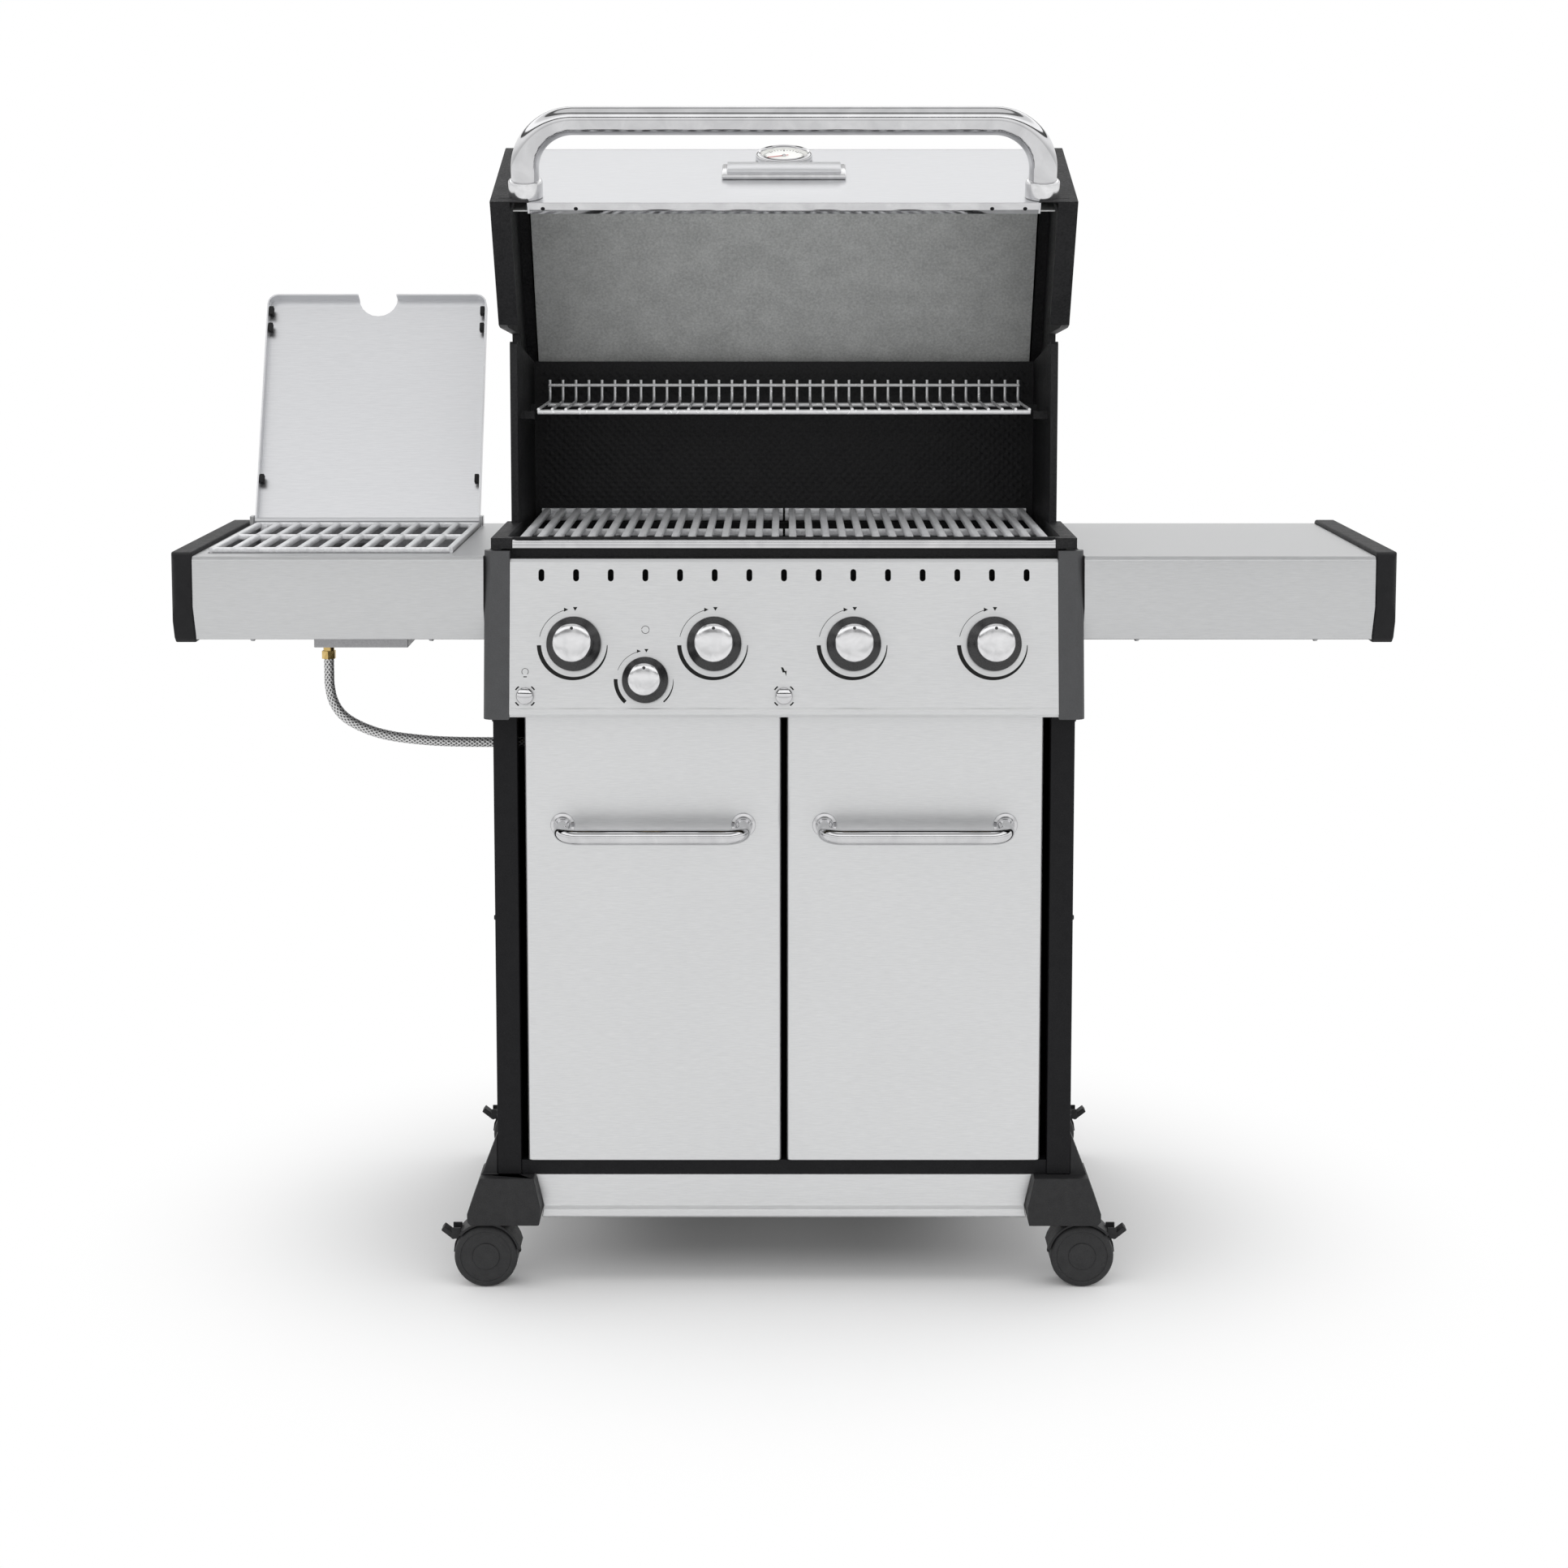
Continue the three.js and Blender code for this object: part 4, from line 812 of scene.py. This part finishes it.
front_end, back_end = GRID_ENDS
for side, sign in (("left", -1), ("right", 1)):
    low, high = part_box("grate_" + side)
    edge = min(abs(low.x), abs(high.x))
    first = sign * (edge + (GRID_PITCH - 0.001) / 2)
    lie = GRID_TOP - GRID_THICK / 2
    long_bars = bars("long_bars", [(first, front_end, lie), (first, back_end, lie)], GRID_BAR,
                     GRID_THICK, 0.0022, GRID_BARS, (sign * GRID_PITCH, 0, 0), grate_steel)
    ends_x = (sign * (edge + 0.0005), sign * (edge + GRID_PITCH * GRID_BARS - 0.003))
    rib_line = [(x, front_end + RIB_INSET, lie - GRID_THICK / 2 - 0.004) for x in ends_x]
    cross_ribs = bars("cross_ribs", rib_line, 0.008, 0.009, 0.002, 3,
                      (0, (back_end - front_end - 2 * RIB_INSET) / 2, 0), grate_steel)
    end_line = [(x, front_end + END_BAR / 2, lie) for x in ends_x]
    end_bars = bars("end_bars", end_line, END_BAR, GRID_THICK, 0.0018, 2,
                    (0, back_end - front_end - END_BAR, 0), grate_steel)
    grid = joined("cooking_grid_" + side, [long_bars, cross_ribs, end_bars])
    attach(grid, "cart")
    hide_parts("grate_" + side)

# ---- Warming rack ----
# Bright plated wires welded across two rods, turned up at the back so that food can't slide off.
# Lugs in the cook box's cheeks carry it.
RACK_Z = 1.0695
RACK_WIRES = 37
RACK_WIRE = 0.0037
RACK_HALF = 0.3105  # from the middle to the outermost wire
RACK_RISE = 0.0285  # how far the wires turn up at the back
RACK_FRONT, RACK_BACK = 0.250 + FRONT, 0.4435 + FRONT
bright_wire = surfaced("bright_wire", handled_shine, (120, 120, 120), (0.76, 0.76, 0.77),
                       (0.88, 0.88, 0.89), 0.16, 0.3, 0.35, 0.00001)
wire_line = [(-RACK_HALF, RACK_FRONT, RACK_Z), (-RACK_HALF, RACK_BACK, RACK_Z),
             (-RACK_HALF, RACK_BACK, RACK_Z + RACK_RISE)]
wires = bars("rack_wires", wire_line, RACK_WIRE, RACK_WIRE, 0.0018, RACK_WIRES,
             (2 * RACK_HALF / (RACK_WIRES - 1), 0, 0), bright_wire, 0.008)
RACK_RODS = [(RACK_FRONT + 0.003, RACK_Z - 0.0035, 0.006), (RACK_BACK - 0.02, RACK_Z - 0.0035, 0.005),
             (RACK_BACK - 0.003, RACK_Z + 0.0215, 0.004)]  # depth, height and thickness of each
rods = [bars("rack_rod", [(-0.312, y, z), (0.312, y, z)], thick, thick, thick * 0.48, 1, (0, 0, 0),
             bright_wire) for y, z, thick in RACK_RODS]
rack = joined("wire_rack", [wires, *rods])
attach(rack, "cart")
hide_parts("warming_rack")

# ---- Lid ----
# A double-skinned lid: an outer sheet of satin stainless folded over the top, and a plain grey inner
# sheet. Two cast ends clamp their edges and turn on pins in the cook box's cheeks.
HINGE = (0.436, 1.046)  # depth and height of the hinge line
LID_OPEN = math.radians(56)
LID_LEAN = math.radians(16.5)
LID_RIM = (0.019, 0.9303)  # depth and height of the closed lid's front corner


def on_lid(x, up, out):
    """A point of the open lid: across, up its front panel from the rim, and out from the panel."""
    y = LID_RIM[0] + up * math.sin(LID_LEAN) - out * math.cos(LID_LEAN) - HINGE[0]
    z = LID_RIM[1] + up * math.cos(LID_LEAN) + out * math.sin(LID_LEAN) - HINGE[1]
    turned_y = y * math.cos(LID_OPEN) + z * math.sin(LID_OPEN)
    turned_z = z * math.cos(LID_OPEN) - y * math.sin(LID_OPEN)
    return Vector((x, turned_y + HINGE[0] + FRONT, turned_z + HINGE[1]))


def lid_place(x, up, out=0.0):
    """The place of a round piece that stands on the lid's front panel, its third axis pointing out."""
    origin = on_lid(x, up, out)
    along = Vector((1, 0, 0))
    outward = (on_lid(x, up, out + 1) - origin).normalized()
    upward = outward.cross(along)
    place = Matrix((along, upward, outward)).transposed().to_4x4()
    place.translation = origin
    return place


lid_steel = surfaced("lid_satin_steel", satin_grain, (50, 800, 800), (0.62, 0.625, 0.64),
                     (0.73, 0.735, 0.75), 0.28, 0.38, 1.0, 0.00002)
softened("lid_skin", "lid_outer_sheet", "lid", lid_steel, 0.0006)
liner_steel = surfaced("liner_steel", fine_pebble, (330, 330, 330), (0.46, 0.47, 0.465),
                       (0.70, 0.71, 0.70), 0.42, 0.55, 0.4, 0.00006)
softened("lid_liner", "lid_inner_sheet", "lid", liner_steel, 0.0005)
for side in ("left", "right"):
    softened("lid_cap_" + side, "lid_casting_" + side, "lid", cast_black, 0.0006)


def block(name, corner, far, place, finish, round_off=0.001):
    """A rounded block between two corners, given in a place's own axes."""
    shape = bmesh.new()
    bmesh.ops.create_cube(shape, size=1)
    for point in shape.verts:
        point.co = [(a + b) / 2 + c * (b - a) for a, b, c in zip(corner, far, point.co)]
    bmesh.ops.bevel(shape, geom=list(shape.edges) + list(shape.verts), offset=round_off, segments=2,
                    affect="EDGES", profile=0.5, clamp_overlap=True)
    bmesh.ops.transform(shape, matrix=place, verts=shape.verts)
    bmesh.ops.recalc_face_normals(shape, faces=shape.faces)
    return finished_shape(name, shape, 40, finish)


rim_place = lid_place(0, 0)
hem_place = rim_place @ Matrix.Rotation(LID_LEAN, 4, "X")
hem = block("lid_hem", (-0.3085, -0.0009, -0.0155), (0.3085, -0.0001, 0.0002), hem_place,
            polished_steel, 0.0003)
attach(hem, "lid")
stops = [block("lid_stop", (x - 0.009, 0.205, -0.046), (x + 0.009, 0.235, -0.030), rim_place,
               cast_black, 0.003) for x in (-0.322, 0.322)]
stops += [block("stop_block", (x - 0.0055, 0.095, -0.006), (x + 0.0055, 0.165, 0.0), rim_place,
                cast_black, 0.002) for x in (-0.351, 0.351)]
lid_stops = joined("lid_stops", stops)
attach(lid_stops, "lid")


def screws(name, body, places, radius, height, finish):
    """Screw heads at places, each given as a point and the way that it faces."""
    heads = grown(name, studs, [point for point, _ in places], [],
                  {"Radius": radius, "Top Radius": radius * 0.62, "Height": height, "Sides": 20,
                   "Finish": finish}, [way for _, way in places])
    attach(heads, body)


hem_heads = [(hem_place @ Vector((x, -0.0009, -0.008)), hem_place.to_3x3() @ Vector((0, -1, 0)))
             for x in (-0.292, -0.252, 0.252, 0.292)]
screws("hem_screws", "lid", hem_heads, 0.0026, 0.0002, powder_coat)

# ---- Lid handle ----
# A wide polished steel tube bent at both ends, pushed into satin collars that are bolted through
# the lid's front panel.
LID_GRIP_UP = 0.025
LID_GRIP_HALF = 0.314
LID_GRIP_REACH = 0.095
LID_GRIP_TUBE = 0.0172
LID_GRIP_BEND = 0.060
corners = [on_lid(x, LID_GRIP_UP, out) for x, out in (
    (-LID_GRIP_HALF, 0.002), (-LID_GRIP_HALF, LID_GRIP_REACH), (LID_GRIP_HALF, LID_GRIP_REACH),
    (LID_GRIP_HALF, 0.002))]
route = rounded_route(corners, LID_GRIP_BEND, 0.003)
parts = [swept_tube("lid_bar", route, [LID_GRIP_TUBE] * len(route), 64, polished_steel)]
r = LID_GRIP_TUBE
collar = [(0, 0.0006, 0), (r + 0.0035, 0.0006, 0), (r + 0.0038, 0.002, 0), (r + 0.0038, 0.0185, 0),
          (r + 0.0034, 0.0202, 0), (r + 0.0022, 0.0216, 0), (r + 0.0006, 0.022, 0), (0, 0.022, 0)]
for x in (-LID_GRIP_HALF, LID_GRIP_HALF):
    parts.append(turned("collar", collar, lid_place(x, LID_GRIP_UP), 64, [satin_silver]))
lid_grip = joined("lid_grip", parts)
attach(lid_grip, "lid")
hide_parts("lid_handle")

# ---- Lid thermometer ----
# A round dial in a polished bezel, screwed through the front panel. Its white face has a ring of
# ticks and a red needle.
GAUGE_UP = 0.188
GAUGE_RADIUS = 0.0358
TICKS, FIRST_TICK, TICK_TURN, TICK_RADIUS = 31, -135, 9, 0.0270
NEEDLE_TURN = 112
gauge_place = lid_place(0, GAUGE_UP)
r = GAUGE_RADIUS
bezel = [(0, 0.0004, 0), (r - 0.001, 0.0004, 0), (r, 0.0016, 0), (r, 0.0065, 0), (r - 0.0012, 0.0088, 0),
         (r - 0.0036, 0.0100, 0), (r - 0.0058, 0.0092, 0), (r - 0.0066, 0.0072, 0),
         (r - 0.0068, 0.0045, 1), (0, 0.0045, 1)]
white_dial = surfaced("white_dial", fine_pebble, (700, 700, 700), (0.74, 0.74, 0.72),
                      (0.86, 0.86, 0.84), 0.45, 0.6, 0.0, 0.00001)
red_needle = surfaced("red_needle", fine_pebble, (900, 900, 900), (0.35, 0.02, 0.015),
                      (0.52, 0.04, 0.03), 0.35, 0.5, 0.0, 0.00001)
parts = [turned("bezel", bezel, gauge_place, 96, [polished_steel, white_dial])]
for i in range(TICKS):
    tick_place = gauge_place @ Matrix.Rotation(math.radians(FIRST_TICK + TICK_TURN * i), 4, "Z")
    width, reach = (0.0006, 0.0050) if i % 5 == 0 else (0.0003, 0.0028)
    parts.append(block("tick", (-width, TICK_RADIUS - reach, 0.0044), (width, TICK_RADIUS, 0.0048),
                       tick_place, black_print, 0.0001))
needle_place = gauge_place @ Matrix.Rotation(math.radians(NEEDLE_TURN), 4, "Z")
parts.append(block("needle", (-0.0007, -0.006, 0.0052), (0.0007, 0.0225, 0.0057), needle_place,
                   red_needle, 0.0002))
hub = [(0, 0.0045, 0), (0.0026, 0.0045, 0), (0.0026, 0.0062, 0), (0.0018, 0.0068, 0), (0, 0.007, 0)]
parts.append(turned("hub", hub, gauge_place, 32, [polished_steel]))
gauge = joined("dial_thermometer", parts)
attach(gauge, "lid")
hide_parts("lid_thermometer")

# ---- Plain name plate ----
# A blank satin plate with a stepped edge, riveted to the front panel below the thermometer.
plate = joined("blank_plate", [
    block("plate_base", (-0.077, 0.098, 0.0002), (0.077, 0.148, 0.0060), rim_place, satin_silver,
          0.0015),
    block("plate_face", (-0.071, 0.104, 0.0055), (0.071, 0.142, 0.0105), rim_place, lid_steel, 0.0015),
])
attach(plate, "lid")

# ---- Side shelves ----
# Folded stainless boxes, open underneath, with moulded resin end caps. Brackets bolt them to the
# cook box, and screws under their front edge hold the lining strips.
# The shelves' steel is the doors' satin steel painted darker: painted shade that tones down the shelves
# under the light from above.
shelf_steel_painted_shade = surfaced("shelf_satin_steel_painted_shade", satin_grain, (60, 900, 900), (0.50, 0.505, 0.51),
                       (0.60, 0.605, 0.61), 0.3, 0.4, 1.0, 0.00002)
# The end caps' resin is the feet's black resin painted darker: painted shade that offsets the extra
# light the caps take from above.
shelf_resin_painted_shade = surfaced("shelf_end_resin_painted_shade", fine_pebble, (1100, 1100, 1100), (0.007, 0.007, 0.008),
                       (0.016, 0.016, 0.017), 0.42, 0.62, 0.0, 0.0001, 0.16)
for side in ("left", "right"):
    softened("shelf_" + side, "steel_shelf_" + side, "cart", shelf_steel_painted_shade, 0.0008)
    softened("shelf_cap_" + side, "shelf_end_" + side, "cart", shelf_resin_painted_shade, 0.002, 3)

# ---- Side burner ----
# A pressed pan let into the left shelf, with one round burner on a venturi. Its cap is ringed with
# flame ports, and a steel grid of flat bars stands over it.
PAN_FLOOR = 0.873
CAP_FOOT = 0.892
HEAD_RADIUS, PORTS, PORT_Z = 0.0422, 36, 0.8865
SIDE_TOP, SIDE_THICK = 0.914, 0.007
SIDE_PITCH, SIDE_BARS, SIDE_BAR = 0.026, 12, 0.008
CROSS_BAR = 0.007
softened("side_burner", "burner_pan", "cart", dull_steel, 0.0008)
low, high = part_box("side_burner_grate")
burner_x, burner_y = (low.x + high.x) / 2, (low.y + high.y) / 2
cap_place = Matrix.Translation((burner_x, burner_y, CAP_FOOT))
cap_profile = [(0, 0.0002, 0), (0.0425, 0.0002, 0), (0.0445, 0.0018, 0), (0.0445, 0.0042, 0),
               (0.043, 0.0062, 0), (0.036, 0.0078, 0), (0.020, 0.0088, 0), (0.006, 0.009, 0),
               (0, 0.009, 0)]
burner_cap = turned("side_burner_cap", cap_profile, cap_place, 72, [cast_black])
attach(burner_cap, "cart")
port_ways = [(math.cos(2 * math.pi * i / PORTS), math.sin(2 * math.pi * i / PORTS), 0)
             for i in range(PORTS)]
port_points = [(burner_x + HEAD_RADIUS * x, burner_y + HEAD_RADIUS * y, PORT_Z) for x, y, _ in port_ways]
ports = grown("flame_ports", studs, port_points, [],
              {"Radius": 0.0019, "Top Radius": 0.0014, "Height": 0.0008, "Sides": 10,
               "Finish": cast_black}, port_ways)
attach(ports, "cart")
lie = SIDE_TOP - SIDE_THICK / 2
first = burner_x - SIDE_PITCH * (SIDE_BARS - 1) / 2
long_bars = bars("side_long_bars", [(first, y, lie) for y in (low.y + 0.003, high.y - 0.003)], SIDE_BAR,
                 SIDE_THICK, 0.002, SIDE_BARS, (SIDE_PITCH, 0, 0), grate_steel)
cross_line = [(x, low.y + CROSS_BAR / 2, lie) for x in (low.x + 0.001, high.x - 0.001)]
cross = bars("side_cross_bars", cross_line, CROSS_BAR, SIDE_THICK, 0.002, 3,
             (0, (high.y - low.y - CROSS_BAR) / 2, 0), grate_steel)
legs = [block("leg", (x - 0.004, y - 0.003, PAN_FLOOR + 0.0003), (x + 0.004, y + 0.003, lie),
              Matrix.Identity(4), grate_steel, 0.0008)
        for x in (low.x + 0.008, high.x - 0.008) for y in (low.y + 0.005, high.y - 0.005)]
side_grid = joined("side_grid", [long_bars, cross, *legs])
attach(side_grid, "cart")
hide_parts("side_burner_grate")
softened("side_burner_valve", "brass_fitting", "cart", brass, 0.0005)

# ---- Side burner lid ----
# A shallow stainless pan with a finger notch in its free edge, hinged on lugs at the back of the
# shelf. Small rubber bumpers at its corners keep it off the shelf.
softened("side_burner_lid", "side_lid_pan", "side_lid", lid_steel, 0.0007)
SIDE_HINGE = Vector((0, 0.400 + FRONT, 0.915))
SIDE_OPEN = math.radians(-115)
side_open = (Matrix.Translation(SIDE_HINGE) @ Matrix.Rotation(SIDE_OPEN, 4, "X")
             @ Matrix.Translation(-SIDE_HINGE))
rubber = surfaced("bumper_rubber", fine_pebble, (1300, 1300, 1300), (0.010, 0.010, 0.011),
                  (0.022, 0.022, 0.023), 0.6, 0.75, 0.0, 0.00005, 0.2)
bumpers = [block("bumper", (x - 0.003, y - 0.006 + FRONT, 0.9152),
                 (x + 0.003, y + 0.006 + FRONT, 0.9245), side_open, rubber, 0.0012)
           for x in (-0.6925, -0.4075) for y in (0.098, 0.122, 0.340)]
side_bumpers = joined("side_lid_bumpers", bumpers)
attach(side_bumpers, "side_lid")

# ---- Cart screws ----
# Pan-head steel screws hold the shelves' lining strips, the back panel and the sides. Those in the
# cart are coated with it.
strip_heads = [(Vector((sign * x, 0.034 + FRONT, 0.8045)), (0, 0, -1))
               for sign in (-1, 1) for x in (0.425, 0.640)]
screws("shelf_screws", "cart", strip_heads, 0.0036, 0.002, dull_steel)
low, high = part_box("side_panel_right")
side_heads = [(Vector((sign * 0.352, y, z)), (sign, 0, 0)) for sign in (-1, 1)
              for y in (low.y + 0.012, high.y - 0.012) for z in (0.215, 0.46, 0.705)]
screws("side_screws", "cart", side_heads, 0.004, 0.0022, powder_coat)
low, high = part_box("back_panel")
back_heads = [(Vector((x, high.y, z)), (0, 1, 0)) for x in (-0.30, 0.30) for z in (0.20, 0.46, 0.70)]
screws("back_screws", "cart", back_heads, 0.004, 0.0022, powder_coat)

# ---- Back foot strip ----
# A folded strip, powder coated like the cart, closes the slot between the cabinet's floor and its
# back panel. Its flat leg lies under the floor and its upright leg behind the panel.
STRIP_THICK = 0.0016
STRIP_HALF = 0.318
STRIP_DEPTH, STRIP_RISE = 0.032, 0.018
low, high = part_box("back_panel")
strip_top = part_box("bottom_shelf")[0].z - 0.0003
strip_back = high.y + 0.0003 + STRIP_THICK
flat_leg = block("flat_leg", (-STRIP_HALF, strip_back - STRIP_DEPTH, strip_top - STRIP_THICK),
                 (STRIP_HALF, strip_back, strip_top), Matrix.Identity(4), powder_coat, 0.0005)
upright_leg = block("upright_leg", (-STRIP_HALF, strip_back - STRIP_THICK, strip_top - STRIP_THICK),
                    (STRIP_HALF, strip_back, strip_top + STRIP_RISE), Matrix.Identity(4), powder_coat,
                    0.0005)
foot_strip = joined("back_foot_strip", [flat_leg, upright_leg])
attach(foot_strip, "cart")

# ---- Back louvres ----
# Two columns of pressed louvres in the back panel let air into the cabinet and gas out of it. They
# are raised from the panel's own steel and coated with it.
LOUVRES, LOUVRE_HALF, LOUVRE_STEP, LOUVRE_FOOT = 8, 0.07, 0.022, 0.24
low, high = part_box("back_panel")
columns = []
for middle_x in (-0.17, 0.17):
    line = [(middle_x + end * LOUVRE_HALF, high.y - 0.0005, LOUVRE_FOOT) for end in (-1, 1)]
    columns.append(bars("louvre_column", line, 0.008, 0.007, 0.0032, LOUVRES, (0, 0, LOUVRE_STEP),
                        powder_coat))
louvres = joined("back_louvres", columns)
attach(louvres, "cart")

# ---- Floor and studio light ----
# A plain white floor that fades into a white room, lit by one large soft box above and one in
# front. It isn't part of the grill.
floor_mesh = bpy.data.meshes.new("studio_floor")
FLOOR_HALF = 30
floor_mesh.from_pydata([(-FLOOR_HALF, -FLOOR_HALF, 0), (FLOOR_HALF, -FLOOR_HALF, 0),
                        (FLOOR_HALF, FLOOR_HALF, 0), (-FLOOR_HALF, FLOOR_HALF, 0)], [], [(0, 1, 2, 3)])
white_floor = bpy.data.materials.new("white_floor")
white_floor.use_nodes = True
tree = white_floor.node_tree
tree.nodes.remove(tree.nodes["Principled BSDF"])
near = node(tree, "ShaderNodeBsdfDiffuse", {"Color": (0.92, 0.92, 0.92, 1)})
far = node(tree, "ShaderNodeEmission", {"Color": (1, 1, 1, 1), "Strength": 1.0})
place = node(tree, "ShaderNodeTexCoord")
reach = node(tree, "ShaderNodeVectorMath", operation="LENGTH")
fade = node(tree, "ShaderNodeMapRange", {1: 0.36, 2: 0.95, 3: 0.0, 4: 1.0},
            interpolation_type="SMOOTHSTEP")
both = node(tree, "ShaderNodeMixShader")
tree.links.new(place.outputs["Object"], reach.inputs[0])
tree.links.new(reach.outputs["Value"], fade.inputs[0])
tree.links.new(fade.outputs[0], both.inputs[0])
tree.links.new(near.outputs[0], both.inputs[1])
tree.links.new(far.outputs[0], both.inputs[2])
tree.links.new(both.outputs[0], tree.nodes["Material Output"].inputs["Surface"])
floor = linked("studio_floor", floor_mesh, white_floor)

# How bright the room's wall is at each height, from the floor line to straight above. The two dark
# bands are the gaps between its light panels.
WALL_LIGHT = [(0.0, 0.76), (0.08, 0.82), (0.16, 1.02), (0.28, 1.16), (0.355, 1.16), (0.37, 0.10),
              (0.465, 0.10), (0.485, 1.50), (0.64, 1.50), (0.70, 1.10), (0.80, 1.0), (0.82, 0.16),
              (0.90, 0.16), (0.92, 0.9), (1.0, 0.9)]
room = bpy.data.worlds.new("white_room")
room.use_nodes = True
tree = room.node_tree
light = tree.nodes["Background"]
heading = node(tree, "ShaderNodeTexCoord")
split = node(tree, "ShaderNodeSeparateXYZ")
rise = node(tree, "ShaderNodeValToRGB")
while len(rise.color_ramp.elements) < len(WALL_LIGHT):
    rise.color_ramp.elements.new(0.5)
for stop, (height, glow) in zip(rise.color_ramp.elements, WALL_LIGHT):
    stop.position = height
    stop.color = (glow, glow, glow, 1)
tree.links.new(heading.outputs["Generated"], split.inputs[0])
tree.links.new(split.outputs["Z"], rise.inputs[0])
tree.links.new(rise.outputs[0], light.inputs["Color"])
light.inputs["Strength"].default_value = 1.0
seen = node(tree, "ShaderNodeBackground", {"Color": (1, 1, 1, 1), "Strength": 1.0})
rays = node(tree, "ShaderNodeLightPath")
either = node(tree, "ShaderNodeMixShader")
tree.links.new(rays.outputs["Is Camera Ray"], either.inputs[0])
tree.links.new(light.outputs[0], either.inputs[1])
tree.links.new(seen.outputs[0], either.inputs[2])
tree.links.new(either.outputs[0], tree.nodes["World Output"].inputs["Surface"])
bpy.context.scene.world = room
bpy.context.scene.view_settings.view_transform = "Standard"

SOFT_BOXES = [  # name, place, what it points at, width, height, power
    ("overhead_box", (0, -0.4, 3.6), (0, 0, 0.6), 4.4, 3.2, 40),
    ("front_box", (-0.6, -5.0, 2.6), (0, 0, 0.8), 3.4, 1.6, 26),
]
for name, spot, aim, width, height, power in SOFT_BOXES:
    box_light = bpy.data.lights.new(name, "AREA")
    box_light.shape = "RECTANGLE"
    box_light.size = width
    box_light.size_y = height
    box_light.energy = power
    lamp = bpy.data.objects.new(name, box_light)
    lamp.location = spot
    lamp.visible_glossy = False
    lamp.rotation_euler = (Vector(aim) - Vector(spot)).to_track_quat("-Z", "Y").to_euler()
    bpy.context.collection.objects.link(lamp)
